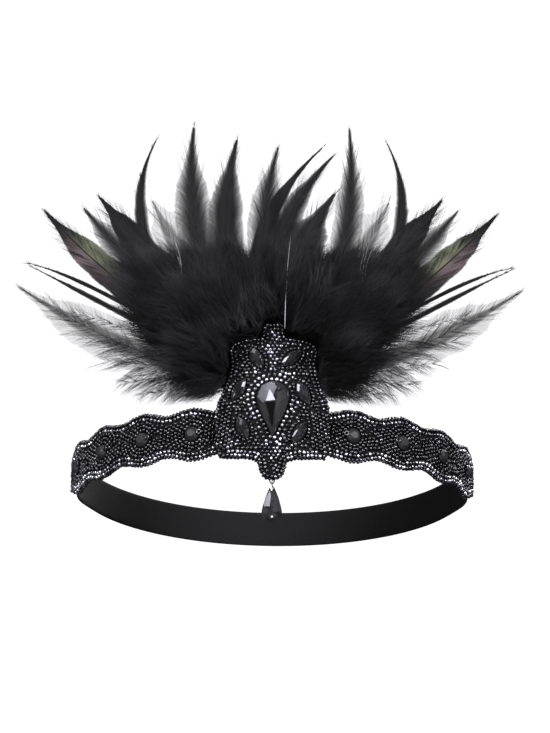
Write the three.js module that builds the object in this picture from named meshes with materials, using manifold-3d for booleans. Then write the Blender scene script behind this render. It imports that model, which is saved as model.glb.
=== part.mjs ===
// Flapper feather headband in its worn form: a scalloped front band, an elastic strap round the back, a
// centre motif of cut stones with a hanging drop, and a plume of marabou fluff and long hackle feathers.
// Millimetres, +Z up. The front faces -Y and the origin is the middle of the head loop.
import * as THREE from "three";
import { mergeVertices } from "three/addons/utils/BufferGeometryUtils.js";
import Module from "manifold-3d";

const wasm = await Module();
wasm.setup();

// The head loop: half an ellipse in front, half of a longer one behind, in a plane that leans back.
const LOOP_HALF_WIDTH = 85;
const LOOP_FRONT = 75;
const LOOP_BACK = 105;
const LOOP_LEAN = 16; // degrees
const SIDE_DIP = 3; // how far the loop sags beside the ears
const SIDE_DIP_AT = 110; // where it sags most, along the loop from the front
const SIDE_DIP_REACH = 55;

// Pieces that touch keep this gap.
const SEAT_GAP = 0.3;

// The felt band, measured along the loop from the middle of the front.
const BAND_HEIGHT = 19.4;
const BAND_WALL = 1.5;
const BAND_HALF_LENGTH = 125;
const BAND_END_ROUND = 20;
const BAND_END_CUT = 0.93; // share of the rounding where the end is cut square
const FIRST_LOBE = 33;
const LOBE_PITCH = 23;
const LOBE_DEPTH = 1.1;
const LOBES_A_SIDE = 4;

const ELASTIC_WIDTH = 16;
const ELASTIC_WALL = 1.2;
const ELASTIC_LAP = 20;

// The centre motif: a stiff plaque with a prong above and a tongue below.
const MOTIF_RISE = 45;
const MOTIF_FALL = 20.2;
const MOTIF_HALF_WIDTH = 22;
const MOTIF_WALL = 2.9;

// Cut stones.
const PEAR_WIDTH = 13.2;
const PEAR_LENGTH = 22.6;
const PEAR_HEIGHT = 4.4;
const PEAR_TIP_RADIUS = 0.5;
const PEAR_MIDDLE = 8.8; // above the middle of the band
const NAVETTE_WIDTH = 4.8;
const NAVETTE_LENGTH = 11;
const NAVETTE_HEIGHT = 2.8;
const ROUND_STONE = 6;
const ROUND_STONE_HEIGHT = 2.6;
const STONE_BOW = 0.3; // how far a pear's sides bow out
const GIRDLE_SHARE = 0.35; // of the height
const BACK_SHARE = 0.85; // of the outline
const CROWN_SHARE = 0.8;
const CROWN_LEVEL = 0.52;
const TABLE_SHARE = 0.5;

// The drop on its jump ring, and the eyelet that is sewn behind the tongue.
const WIRE = 0.5;
const EYELET_RADIUS = 0.9;
const EYELET_HANG = 1.45; // below the tongue
const EYELET_LEG = 5;
const RING_RADIUS = 1.3;
const RING_PLAY = 0.25; // between the ring and the eyelet's wire
const DROP_WIDTH = 8.4;
const DROP_LENGTH = 15;
const DROP_THICKNESS = 5;
const DROP_TIP_RADIUS = 1;
const DROP_TIP_THICKNESS = 0.8;
const DROP_HOLE_RADIUS = 0.55;

// The plume: fluff in front, hackles behind it, parted by one curved surface that leans back.
const PLUME_SHIFT = -2; // the plume sits a little off the middle
const PLUME_LEAN = 6; // degrees, more than the loop
const PLUME_FLARE = 60; // from here out the plume's curve straightens
const PATCH_HALF_WIDTH = 14;
const PATCH_TOP = 30;
const PATCH_FOOT = -7;
const PATCH_WALL = 1.7;
const ROOT_SHARE = 0.75; // of the patch, where the plume's quills are rooted
const FAN_HALF_SPAN = 110;
const FAN_RISE = 142;
const HACKLE_WIDTH = 17;
const HACKLE_THICKNESS = 1.2;
const HACKLE_LAYER = 0.8;
const MOUND_HALF_SPAN = 64;
const MOUND_RISE = 84;
const MOUND_BULGE = 20;
const LOCK_RADIUS = 10;

// Half the motif's outline, from the tongue's foot to the prong's top: share of the height, share of
// the half width.
const MOTIF_OUTLINE = [
  [0, 0.07],
  [0.015, 0.16],
  [0.05, 0.21],
  [0.1, 0.235],
  [0.122, 0.3],
  [0.134, 0.45],
  [0.14, 0.93],
  [0.17, 0.99],
  [0.32, 1],
  [0.44, 1],
  [0.47, 1],
  [0.505, 0.97],
  [0.54, 0.92],
  [0.59, 0.86],
  [0.64, 0.81],
  [0.69, 0.77],
  [0.74, 0.75],
  [0.78, 0.77],
  [0.83, 0.79],
  [0.858, 0.76],
  [0.882, 0.66],
  [0.898, 0.5],
  [0.906, 0.21],
  [0.935, 0.19],
  [0.985, 0.185],
  [1, 0.14],
];

// Navettes round the pear: name, share of the half width to the right, share of the rise above the
// band's middle, degrees that the top leans to the right.
const NAVETTES = [
  ["navette_top_left", -0.3, 0.672, -30],
  ["navette_top_right", 0.32, 0.675, 50],
  ["navette_mid_left", -0.61, 0.375, 30],
  ["navette_mid_right", 0.54, 0.35, -27],
  ["navette_low_left", -0.53, 0.015, -24],
  ["navette_low_right", 0.47, -0.02, 29],
];

// Side hackles, once on each side: tip across and up, bend across and up as shares of the fan's half
// span and rise, share of the width, layer behind the first.
const SIDE_HACKLES = [
  [0.995, 0.508, 0.51, 0.225, 1.1, 1],
  [0.948, 0.575, 0.5, 0.41, 0.35, 3],
  [0.89, 0.745, 0.545, 0.387, 0.85, 0],
  [0.735, 0.75, 0.527, 0.55, 0.7, 2],
  [0.674, 0.778, 0.49, 0.563, 0.7, 1],
  [0.44, 0.965, 0.6, 0.704, 0.35, 3],
  [0.3, 1, 0.345, 0.648, 0.95, 0],
];

// Hackles of the middle, in the same columns.
const MIDDLE_HACKLES = [
  [-0.127, 0.954, -0.245, 0.62, 0.85, 2],
  [0.033, 0.923, -0.055, 0.59, 0.75, 1],
  [0.219, 0.933, -0.164, 0.577, 0.4, 3],
  [0.258, 0.905, -0.055, 0.563, 0.55, 2],
  [0.258, 0.776, 0.036, 0.507, 0.5, 1],
];

// A hackle's blade: share of the length, share of the width.
const BLADE = [
  [0, 0.2],
  [0.2, 0.55],
  [0.4, 0.92],
  [0.6, 1],
  [0.76, 0.64],
  [0.9, 0.24],
  [1, 0.04],
];

// Side locks of the fluff, once on each side: tip across, up and forward, bend across, up and forward
// as shares of the mound's half span, rise and bulge, share of the radius.
const SIDE_LOCKS = [
  [1, 0.92, 0.2, 0.5, 0.62, 0.4, 1],
  [0.95, 0.74, 0.35, 0.52, 0.42, 0.6, 1],
  [0.81, 0.56, 0.4, 0.5, 0.32, 0.6, 0.9],
  [0.7, 0.39, 0.35, 0.46, 0.27, 0.5, 0.8],
  [0.52, 0.225, 0.25, 0.42, 0.24, 0.4, 0.55],
  [0.81, 0.98, 0.15, 0.4, 0.7, 0.4, 1],
  [0.56, 0.98, 0.15, 0.28, 0.66, 0.5, 1],
  [0.31, 1, 0.15, 0.16, 0.7, 0.5, 1],
  [0.69, 0.72, 0.8, 0.4, 0.55, 0.9, 1],
  [0.47, 0.8, 0.85, 0.25, 0.58, 0.9, 1],
  [0.5, 0.5, 0.75, 0.4, 0.36, 0.8, 0.85],
  [0.2, 0.86, 0.65, 0.1, 0.62, 0.5, 0.9],
];

// Locks of the middle, in the same columns.
const MIDDLE_LOCKS = [
  [0, 0.98, 0.15, 0, 0.64, 0.3, 1],
  [0, 0.74, 0.45, 0, 0.6, 0.3, 0.7],
];

// A lock: share of the length, share of the radius.
const LOCK = [
  [0, 0.1],
  [0.25, 0.55],
  [0.5, 0.9],
  [0.72, 1],
  [0.88, 0.62],
  [1, 0.06],
];

const { degToRad, lerp, clamp, euclideanModulo } = THREE.MathUtils;
const vector = (x, y, z) => new THREE.Vector3(x, y, z);
const flat = (x, y) => new THREE.Vector2(x, y);

class HeadLoop extends THREE.Curve {
  getPoint(share) {
    const angle = 2 * Math.PI * (share - 0.5);
    const depth = Math.cos(angle) > 0 ? LOOP_FRONT : LOOP_BACK;
    return vector(LOOP_HALF_WIDTH * Math.sin(angle), -depth * Math.cos(angle), 0);
  }
}

const headLoop = new HeadLoop();
headLoop.arcLengthDivisions = 720;
const LOOP_LENGTH = headLoop.getLength();

// Along the loop from the middle of the front, positive to +X: the point there and the way outwards.
function loopAt(along) {
  const share = euclideanModulo(0.5 + along / LOOP_LENGTH, 1);
  const tangent = headLoop.getTangentAt(share);
  return {
    point: headLoop.getPointAt(share),
    outward: vector(tangent.y, -tangent.x, 0),
    turn: Math.atan2(tangent.y, tangent.x),
  };
}

// A point on the loop's upright wall, so far along, up and outwards.
function wrap(along, up, out) {
  const { point, outward } = loopAt(along);
  return point.addScaledVector(outward, out).add(vector(0, 0, up));
}

function meshGeometry(positions, index) {
  const geometry = new THREE.BufferGeometry();
  geometry.setAttribute("position", new THREE.Float32BufferAttribute(positions, 3));
  geometry.setIndex(index);
  geometry.computeVertexNormals();
  return geometry;
}

// A closed wall: point(u, v, face) gives the grid of its outer face 0 and of its inner face 1.
function wallGeometry(point, columns, rows) {
  const positions = [];
  for (const face of [0, 1]) {
    for (let row = 0; row <= rows; row += 1) {
      for (let column = 0; column <= columns; column += 1) {
        positions.push(...point(column / columns, row / rows, face).toArray());
      }
    }
  }
  const at = (face, row, column) => (face * (rows + 1) + row) * (columns + 1) + column;
  const index = [];
  const quad = (a, b, c, d) => index.push(a, b, c, a, c, d);
  for (let row = 0; row < rows; row += 1) {
    for (let column = 0; column < columns; column += 1) {
      const corners = [[row, column], [row, column + 1], [row + 1, column + 1], [row + 1, column]];
      quad(...corners.map(([r, c]) => at(0, r, c)));
      quad(...corners.reverse().map(([r, c]) => at(1, r, c)));
    }
    quad(at(0, row, 0), at(0, row + 1, 0), at(1, row + 1, 0), at(1, row, 0));
    quad(at(1, row, columns), at(1, row + 1, columns), at(0, row + 1, columns), at(0, row, columns));
  }
  for (let column = 0; column < columns; column += 1) {
    quad(at(1, 0, column), at(1, 0, column + 1), at(0, 0, column + 1), at(0, 0, column));
    quad(at(0, rows, column), at(0, rows, column + 1), at(1, rows, column + 1), at(1, rows, column));
  }
  return meshGeometry(positions, index);
}

// A body through rings of points, each ring turning right-handed about the way to the next.
function loftGeometry(rings) {
  const sides = rings[0].length;
  const last = (rings.length - 1) * sides;
  const index = [];
  for (let ring = 0; ring < last; ring += sides) {
    for (let i = 0; i < sides; i += 1) {
      const a = ring + i;
      const b = ring + ((i + 1) % sides);
      index.push(a, b, a + sides, b, b + sides, a + sides);
    }
  }
  for (let i = 1; i + 1 < sides; i += 1) {
    index.push(0, i + 1, i, last, last + i, last + i + 1);
  }
  return meshGeometry(rings.flat().flatMap((p) => p.toArray()), index);
}

function toSolid(geometry) {
  const bare = new THREE.BufferGeometry();
  bare.setAttribute("position", geometry.getAttribute("position"));
  bare.setIndex(geometry.index);
  const merged = mergeVertices(bare, 1e-4);
  return new wasm.Manifold(
    new wasm.Mesh({
      numProp: 3,
      vertProperties: merged.getAttribute("position").array,
      triVerts: new Uint32Array(merged.index.array),
    }),
  );
}

function fromSolid(solid) {
  const mesh = solid.getMesh();
  return meshGeometry(mesh.vertProperties, Array.from(mesh.triVerts));
}

const join = (geometries) => geometries.map(toSolid).reduce((whole, piece) => whole.add(piece));

// How far the loop's middle line sags at a place along it.
function dipAt(along) {
  const fromFront = Math.min(Math.abs(along), LOOP_LENGTH - Math.abs(along));
  const off = clamp((fromFront - SIDE_DIP_AT) / SIDE_DIP_REACH, -1, 1);
  return -SIDE_DIP * Math.cos((off * Math.PI) / 2) ** 2;
}

// Half the band's height: it swells to a lobe at each round stone, and its ends are rounded.
function bandHalfHeight(along) {
  const off = Math.abs(along);
  const beforeLobes = off < FIRST_LOBE - LOBE_PITCH / 2;
  const wave = beforeLobes ? -1 : Math.cos((2 * Math.PI * (off - FIRST_LOBE)) / LOBE_PITCH);
  const intoEnd = clamp((off - BAND_HALF_LENGTH + BAND_END_ROUND) / BAND_END_ROUND, 0, BAND_END_CUT);
  return (BAND_HEIGHT / 2 + LOBE_DEPTH * wave) * Math.sqrt(1 - intoEnd ** 2);
}

function bandGeometry(inner, outer, grow, columns) {
  const point = (u, v, face) => {
    const along = lerp(-BAND_HALF_LENGTH, BAND_HALF_LENGTH, u);
    const half = bandHalfHeight(along) + grow;
    return wrap(along, dipAt(along) + lerp(-half, half, v), face ? inner : outer);
  };
  return wallGeometry(point, columns, 2);
}

function elasticGeometry() {
  const start = BAND_HALF_LENGTH - ELASTIC_LAP;
  const point = (u, v, face) => {
    const along = lerp(start, LOOP_LENGTH - start, u);
    const up = dipAt(along) + lerp(-ELASTIC_WIDTH / 2, ELASTIC_WIDTH / 2, v);
    return wrap(along, up, -SEAT_GAP - (face ? ELASTIC_WALL : 0));
  };
  return wallGeometry(point, 64, 1);
}

const MOTIF_BACK = BAND_WALL + SEAT_GAP;
const MOTIF_FACE = MOTIF_BACK + MOTIF_WALL;

function motifGeometry(inner, outer, grow) {
  const point = (u, v, face) => {
    const [heightShare, widthShare] = MOTIF_OUTLINE[Math.round(v * (MOTIF_OUTLINE.length - 1))];
    const half = widthShare * MOTIF_HALF_WIDTH + grow;
    const up = lerp(-MOTIF_FALL - grow, MOTIF_RISE + grow, heightShare);
    return wrap(lerp(-half, half, u), up, face ? inner : outer);
  };
  return wallGeometry(point, 12, MOTIF_OUTLINE.length - 1);
}

// Outlines of the stones: 16 corners, anticlockwise from the top as seen from the front.
const SIDES = 16;
const cornerAngle = (i) => (2 * Math.PI * i) / SIDES;
const corners = (point) => Array.from({ length: SIDES }, (_, i) => point(cornerAngle(i), i));

function roundOutline(width) {
  return corners((angle) => flat(-Math.sin(angle), Math.cos(angle)).multiplyScalar(width / 2));
}

function navetteOutline(width, length) {
  const across = (angle) => (-Math.sin(angle) * Math.abs(Math.sin(angle)) * width) / 2;
  return corners((angle) => flat(across(angle), (Math.cos(angle) * length) / 2));
}

// A round end above and a small one below, joined by sides that bow out a little.
function pearOutline(width, length, tipRadius) {
  const round = width / 2;
  const lean = Math.asin((round - tipRadius) / (length - round - tipRadius));
  const arc = (radius, up, turn) => flat(-Math.sin(turn) * radius, up + Math.cos(turn) * radius);
  const shoulder = Math.PI / 2 + lean;
  const half = [0, 1, 2, 3, 4, 5].map((step) => arc(round, length / 2 - round, (step / 5) * shoulder));
  const ankle = arc(tipRadius, tipRadius - length / 2, shoulder);
  const bow = flat(-Math.cos(lean), -Math.sin(lean)).multiplyScalar(STONE_BOW);
  half.push(half[5].clone().lerp(ankle, 0.5).add(bow), ankle, flat(0, -length / 2));
  return corners((_, i) => (i <= SIDES / 2 ? half[i] : flat(-half[SIDES - i].x, half[SIDES - i].y)));
}

// One face of a cut stone between its girdle and its table: halves, kites, stars and the flat table.
function crownFacets(outline, middleUp, girdleAt, tableAt) {
  const point = (i, share, level) => {
    const corner = outline[euclideanModulo(i, SIDES)];
    return vector(corner.x * share, lerp(girdleAt, tableAt, level), lerp(middleUp, corner.y, share));
  };
  const girdle = (i) => point(i, 1, 0);
  const middle = (i) => point(i, CROWN_SHARE, CROWN_LEVEL);
  const table = (i) => point(i, TABLE_SHARE, 1);
  const facets = [];
  for (let i = 0; i < SIDES; i += 2) {
    facets.push([girdle(i - 1), girdle(i), middle(i)], [girdle(i), girdle(i + 1), middle(i)]);
    facets.push([middle(i), girdle(i + 1), table(i + 1)]);
    facets.push([girdle(i + 1), middle(i + 2), table(i + 1)]);
    facets.push([table(i - 1), middle(i), table(i + 1)]);
  }
  for (let i = 3; i + 2 < SIDES; i += 2) {
    facets.push([table(1), table(i), table(i + 2)]);
  }
  return facets;
}

// Triangles between two rings of corners, the first behind the second.
function skirtFacets(back, front) {
  return back.flatMap((corner, i) => {
    const next = (i + 1) % SIDES;
    return [[corner, back[next], front[i]], [back[next], front[next], front[i]]];
  });
}

function facetGeometry(facets) {
  const bare = new THREE.BufferGeometry();
  const positions = facets.flat().flatMap((p) => p.toArray());
  bare.setAttribute("position", new THREE.Float32BufferAttribute(positions, 3));
  const merged = mergeVertices(bare, 1e-4);
  return meshGeometry(merged.getAttribute("position").array, Array.from(merged.index.array));
}

// A stone with a flat back at 0 that faces -Y.
function stoneGeometry(outline, middleUp, height) {
  const girdleAt = -GIRDLE_SHARE * height;
  const ring = (share, depth) => outline.map((p) => vector(p.x * share, depth, lerp(middleUp, p.y, share)));
  const back = ring(BACK_SHARE, 0);
  const backFacets = back.slice(2).map((corner, i) => [back[0], corner, back[i + 1]]);
  const sides = skirtFacets(back, ring(1, girdleAt));
  return facetGeometry([...backFacets, ...sides, ...crownFacets(outline, middleUp, girdleAt, -height)]);
}

// The drop hangs from the middle of its hole at 0 and is cut alike on both faces.
function dropGeometry() {
  const upright = pearOutline(DROP_WIDTH, DROP_LENGTH, DROP_TIP_RADIUS);
  const down = DROP_TIP_RADIUS - DROP_LENGTH / 2;
  const outline = upright.map((p) => flat(-p.x, down - p.y));
  const middleUp = down - DROP_LENGTH / 2 + DROP_WIDTH / 2;
  const girdleAt = DROP_TIP_THICKNESS / 2;
  const front = crownFacets(outline, middleUp, -girdleAt, -DROP_THICKNESS / 2);
  const back = front.map((facet) => facet.map((p) => vector(p.x, -p.y, p.z)).reverse());
  const ring = (depth) => outline.map((p) => vector(p.x, depth, p.y));
  const stone = facetGeometry([...front, ...back, ...skirtFacets(ring(girdleAt), ring(-girdleAt))]);
  const drill = new THREE.CylinderGeometry(DROP_HOLE_RADIUS, DROP_HOLE_RADIUS, 2 * DROP_THICKNESS, 10);
  return fromSolid(toSolid(stone).subtract(toSolid(drill)));
}

// A staple of wire: two legs and a round foot whose wire's middle is at 0.
function eyeletGeometry() {
  const foot = Array.from({ length: 7 }, (_, i) => {
    const angle = (Math.PI * i) / 6;
    return vector(-Math.cos(angle), 0, 1 - Math.sin(angle)).multiplyScalar(EYELET_RADIUS);
  });
  const legs = [-1, 1].map((side) => vector(side * EYELET_RADIUS, 0, EYELET_HANG + EYELET_LEG));
  const route = [legs[0], ...foot, legs[1]];
  const section = Array.from({ length: 6 }, (_, i) => (2 * Math.PI * i) / 6);
  const rings = route.map((point, i) => {
    const before = route[Math.max(i - 1, 0)];
    const after = route[Math.min(i + 1, route.length - 1)];
    const tangent = after.clone().sub(before).normalize();
    const side = vector(0, -1, 0);
    const across = side.clone().cross(tangent);
    return section.map((turn) =>
      point
        .clone()
        .addScaledVector(across, (Math.cos(turn) * WIRE) / 2)
        .addScaledVector(side, (Math.sin(turn) * WIRE) / 2),
    );
  });
  return loftGeometry(rings);
}

// The surface that parts the fluff from the hackles: it follows the loop, flares straight and leans back.
function partingAt(across, up) {
  const bend = LOOP_FRONT / (2 * LOOP_HALF_WIDTH ** 2);
  const sweep = (bend * across ** 2) / (1 + Math.abs(across) / PLUME_FLARE);
  return -LOOP_FRONT + sweep + Math.tan(degToRad(PLUME_LEAN)) * Math.max(up - PATCH_TOP, 0);
}

// A tapered body along a path. Its sections face the front: each is half a width across and half a
// thickness deep, scaled by the rows of a profile.
function taperedGeometry(path, profile, sides, halfWidth, halfThickness) {
  const rings = profile.map(([share, size]) => {
    const tangent = path.getTangentAt(share);
    const front = vector(0, -1, 0).addScaledVector(tangent, tangent.y).normalize();
    const across = front.clone().cross(tangent);
    return Array.from({ length: sides }, (_, i) => {
      const turn = (2 * Math.PI * i) / sides;
      return path
        .getPointAt(share)
        .addScaledVector(across, Math.cos(turn) * halfWidth * size)
        .addScaledVector(front, Math.sin(turn) * halfThickness * size);
    });
  });
  return loftGeometry(rings);
}

const mirrored = (rows, columns) =>
  rows.flatMap((row) => [-1, 1].map((side) => row.map((v, i) => (columns.includes(i) ? side * v : v))));

function patchGeometry(foot, top, inner, outer) {
  const point = (u, v, face) =>
    wrap(lerp(-PATCH_HALF_WIDTH, PATCH_HALF_WIDTH, u), lerp(foot, top, v), face ? inner : outer);
  return wallGeometry(point, 6, 1);
}

// The long feathers, fused to a patch inside the band.
function hackleFanGeometry() {
  const depthAt = (across, up, layer) =>
    partingAt(across, up) + 2 * SEAT_GAP + HACKLE_THICKNESS / 2 + layer * HACKLE_LAYER;
  const blade = ([tipAcross, tipUp, bendAcross, bendUp, width, layer]) => {
    const place = (across, up, behind) => vector(across, depthAt(across, up, behind), up);
    const root = clamp(2 * tipAcross, -ROOT_SHARE, ROOT_SHARE) * PATCH_HALF_WIDTH;
    const path = new THREE.QuadraticBezierCurve3(
      place(root, ROOT_SHARE * PATCH_TOP, 0),
      place(bendAcross * FAN_HALF_SPAN + PLUME_SHIFT, bendUp * FAN_RISE, layer),
      place(tipAcross * FAN_HALF_SPAN + PLUME_SHIFT, tipUp * FAN_RISE, layer),
    );
    return taperedGeometry(path, BLADE, 4, (width * HACKLE_WIDTH) / 2, HACKLE_THICKNESS / 2);
  };
  const patch = patchGeometry(PATCH_FOOT, PATCH_TOP, -SEAT_GAP - PATCH_WALL, -SEAT_GAP);
  const blades = [...mirrored(SIDE_HACKLES, [0, 2]), ...MIDDLE_HACKLES].map(blade);
  return fromSolid(join([patch, ...blades]));
}

// The fluff's pad sits on the band's top edge behind the motif. What would reach the band, the motif
// or the hackles is trimmed away with a clearance.
function fluffGeometry() {
  const padFoot = bandHalfHeight(0) + SEAT_GAP;
  const pad = patchGeometry(padFoot, PATCH_TOP, 2 * SEAT_GAP, BAND_WALL);
  const lock = ([tipAcross, tipUp, tipOut, bendAcross, bendUp, bendOut, size]) => {
    const place = (across, up, out) => vector(across, partingAt(across, up) - out, up);
    const root = clamp(tipAcross, -ROOT_SHARE, ROOT_SHARE) * PATCH_HALF_WIDTH;
    const path = new THREE.QuadraticBezierCurve3(
      place(root, ROOT_SHARE * PATCH_TOP, BAND_WALL / 2),
      place(bendAcross * MOUND_HALF_SPAN + PLUME_SHIFT, bendUp * MOUND_RISE, bendOut * MOUND_BULGE),
      place(tipAcross * MOUND_HALF_SPAN + PLUME_SHIFT, tipUp * MOUND_RISE, tipOut * MOUND_BULGE),
    );
    return taperedGeometry(path, LOCK, 7, size * LOCK_RADIUS, size * LOCK_RADIUS);
  };
  const locks = [...mirrored(SIDE_LOCKS, [0, 3]), ...MIDDLE_LOCKS].map(lock);
  const reach = 2 * MOUND_HALF_SPAN;
  const behind = wallGeometry(
    (u, v, face) => {
      const across = lerp(-reach, reach, u);
      const up = lerp(-reach, reach, v);
      return vector(across, partingAt(across, up) + (face ? reach : -SEAT_GAP / 2), up);
    },
    24,
    16,
  );
  const overBand = bandGeometry(-reach / 4, reach / 2, SEAT_GAP, 72);
  const overMotif = motifGeometry(BAND_WALL, reach / 2, SEAT_GAP);
  const whole = join([pad, ...locks]);
  const cutters = [behind, overBand, overMotif].map(toSolid);
  return fromSolid(cutters.reduce((solid, cutter) => solid.subtract(cutter), whole));
}

const felt = new THREE.MeshStandardMaterial({ color: 0x111113, roughness: 0.95 });
const elastic = new THREE.MeshStandardMaterial({ color: 0x18181a, roughness: 0.85 });
const glass = new THREE.MeshStandardMaterial({ color: 0x1b1a22, roughness: 0.08 });
const metal = new THREE.MeshStandardMaterial({ color: 0x3a3a3e, roughness: 0.3, metalness: 1 });
const marabou = new THREE.MeshStandardMaterial({ color: 0x0b0b0d, roughness: 1 });
const hackle = new THREE.MeshStandardMaterial({ color: 0x131412, roughness: 0.6 });

function namedMesh(name, geometry, material) {
  const mesh = new THREE.Mesh(geometry, material);
  mesh.name = name;
  return mesh;
}

// Sets a stone's back against the loop's wall and turns it with the loop.
function seat(mesh, along, up, out, lean) {
  mesh.position.copy(wrap(along, up, out));
  mesh.rotation.set(0, degToRad(lean), loopAt(along).turn, "ZYX");
  return mesh;
}

const leaning = new THREE.Group();
leaning.rotation.x = -degToRad(LOOP_LEAN);
leaning.add(namedMesh("band_base", bandGeometry(0, BAND_WALL, 0, 72), felt));
leaning.add(namedMesh("elastic_strap", elasticGeometry(), elastic));
leaning.add(namedMesh("motif_base", motifGeometry(MOTIF_BACK, MOTIF_FACE, 0), felt));
leaning.add(namedMesh("hackle_fan", hackleFanGeometry(), hackle));
leaning.add(namedMesh("marabou_fluff", fluffGeometry(), marabou));

const pearRoundUp = (PEAR_LENGTH - PEAR_WIDTH) / 2;
const pearCorners = pearOutline(PEAR_WIDTH, PEAR_LENGTH, PEAR_TIP_RADIUS);
const pear = namedMesh("pear_stone", stoneGeometry(pearCorners, pearRoundUp / 2, PEAR_HEIGHT), glass);
leaning.add(seat(pear, 0, PEAR_MIDDLE, MOTIF_FACE + SEAT_GAP, 0));

for (const [name, across, up, lean] of NAVETTES) {
  const stone = stoneGeometry(navetteOutline(NAVETTE_WIDTH, NAVETTE_LENGTH), 0, NAVETTE_HEIGHT);
  const along = across * MOTIF_HALF_WIDTH;
  leaning.add(seat(namedMesh(name, stone, glass), along, up * MOTIF_RISE, MOTIF_FACE + SEAT_GAP, lean));
}

for (const [side, letter] of [[-1, "l"], [1, "r"]]) {
  for (let lobe = 0; lobe < LOBES_A_SIDE; lobe += 1) {
    const stone = stoneGeometry(roundOutline(ROUND_STONE), 0, ROUND_STONE_HEIGHT);
    const along = side * (FIRST_LOBE + lobe * LOBE_PITCH);
    const mesh = namedMesh(`band_stone_${letter}${lobe + 1}`, stone, glass);
    leaning.add(seat(mesh, along, dipAt(along), BAND_WALL + SEAT_GAP, 0));
  }
}

// The eyelet is sewn behind the tongue and leans with it. The ring and the drop hang plumb from it.
const eyelet = namedMesh("drop_eyelet", eyeletGeometry(), metal);
const eyeletPlace = wrap(0, -MOTIF_FALL - EYELET_HANG, MOTIF_BACK - SEAT_GAP - WIRE / 2);
eyelet.position.copy(eyeletPlace);
leaning.add(eyelet);

const ringCentre = -(RING_RADIUS - WIRE - RING_PLAY);
const ring = namedMesh("drop_ring", new THREE.TorusGeometry(RING_RADIUS, WIRE / 2, 6, 16), metal);
ring.rotation.y = Math.PI / 2;
ring.position.z = ringCentre;
const drop = namedMesh("drop_stone", dropGeometry(), glass);
drop.position.z = ringCentre - RING_RADIUS;
const hanging = new THREE.Group();
hanging.position.copy(eyeletPlace.clone().applyEuler(leaning.rotation));
hanging.add(ring, drop);

const headband = new THREE.Group();
headband.add(leaning, hanging);

export default headband;
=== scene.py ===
"""Dresses the feather headband: beadwork, feathers, fluff, elastic and cut stones round its fixed frame.

Shapes are worked out in millimetres in the loop's own frame, which leans back, and turned upright last.
"""
import math
from collections import namedtuple

import bpy
import numpy as np
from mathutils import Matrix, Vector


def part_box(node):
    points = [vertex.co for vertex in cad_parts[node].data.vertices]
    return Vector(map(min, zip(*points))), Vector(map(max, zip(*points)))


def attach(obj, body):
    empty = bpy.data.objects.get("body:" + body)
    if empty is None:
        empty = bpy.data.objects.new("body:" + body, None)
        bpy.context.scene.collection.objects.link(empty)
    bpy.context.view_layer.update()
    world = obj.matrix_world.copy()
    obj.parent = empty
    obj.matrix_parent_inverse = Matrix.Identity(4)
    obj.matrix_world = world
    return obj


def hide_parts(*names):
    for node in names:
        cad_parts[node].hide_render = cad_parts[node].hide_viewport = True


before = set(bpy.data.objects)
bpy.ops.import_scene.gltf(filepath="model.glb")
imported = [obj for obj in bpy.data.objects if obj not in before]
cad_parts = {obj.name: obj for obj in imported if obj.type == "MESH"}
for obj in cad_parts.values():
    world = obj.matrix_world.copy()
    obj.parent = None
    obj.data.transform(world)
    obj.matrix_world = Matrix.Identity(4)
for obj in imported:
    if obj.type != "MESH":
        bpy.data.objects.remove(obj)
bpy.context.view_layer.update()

MM = 0.001
LEAN = math.radians(16)
SEED = 1925

# The head loop and the band on it, in millimetres.
LOOP_HALF_WIDTH = 85.0
LOOP_FRONT = 75.0
LOOP_BACK = 105.0
SIDE_DIP = 3.0
SIDE_DIP_AT = 110.0
SIDE_DIP_REACH = 55.0
SEAT_GAP = 0.3
BAND_HEIGHT = 19.4
BAND_WALL = 1.5
BAND_HALF_LENGTH = 125.0
BAND_END_ROUND = 20.0
BAND_END_CUT = 0.93  # share of the rounding where the end is cut square
FIRST_LOBE = 33.0
LOBE_PITCH = 23.0
LOBE_DEPTH = 1.1
LOBES_A_SIDE = 4
BAND_STONE = 6.0
ELASTIC_WIDTH = 16.0
ELASTIC_WALL = 1.2
ELASTIC_LAP = 20.0

# The motif's plaque and stones.
MOTIF_RISE = 45.0
MOTIF_FALL = 20.2
MOTIF_HALF_WIDTH = 22.0
MOTIF_WALL = 2.9
MOTIF_FACE = BAND_WALL + SEAT_GAP + MOTIF_WALL
MERGE_LEVEL = 8.0  # below it the plaque's beadwork runs on into the band's
PEAR_WIDTH = 13.2
PEAR_LENGTH = 22.6
PEAR_TIP_RADIUS = 0.5
PEAR_MIDDLE = 8.8
NAVETTE_WIDTH = 4.8
NAVETTE_LENGTH = 11.0
FACET_CELLS = 420.0  # a metre, the painted reflections of facets seen through the glass

# Beads: corners round each, slant of the rows, radius of those seen along their hole.
BEAD_SIDES = 8
BAND_SLANT = math.radians(38)
MOTIF_SLANT = math.radians(60)
STOP_BEAD_RADIUS = 1.2

# The plume.
PLUME_SHIFT = -2.0
PLUME_LEAN = math.radians(6)
PLUME_FLARE = 60.0
PATCH_HALF_WIDTH = 14.0
PATCH_TOP = 30.0
PATCH_FOOT = -7.0
PATCH_WALL = 1.7
ROOT_SHARE = 0.75  # of the patch, where the quills are rooted
FAN_HALF_SPAN = 110.0
MOUND_RISE = 84.0
MOUND_FOOT = 18.0  # where the mound's hair flows from
HACKLE_LAYER = 0.8
HACKLE_BACK = 1.2  # behind the parting surface

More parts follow.
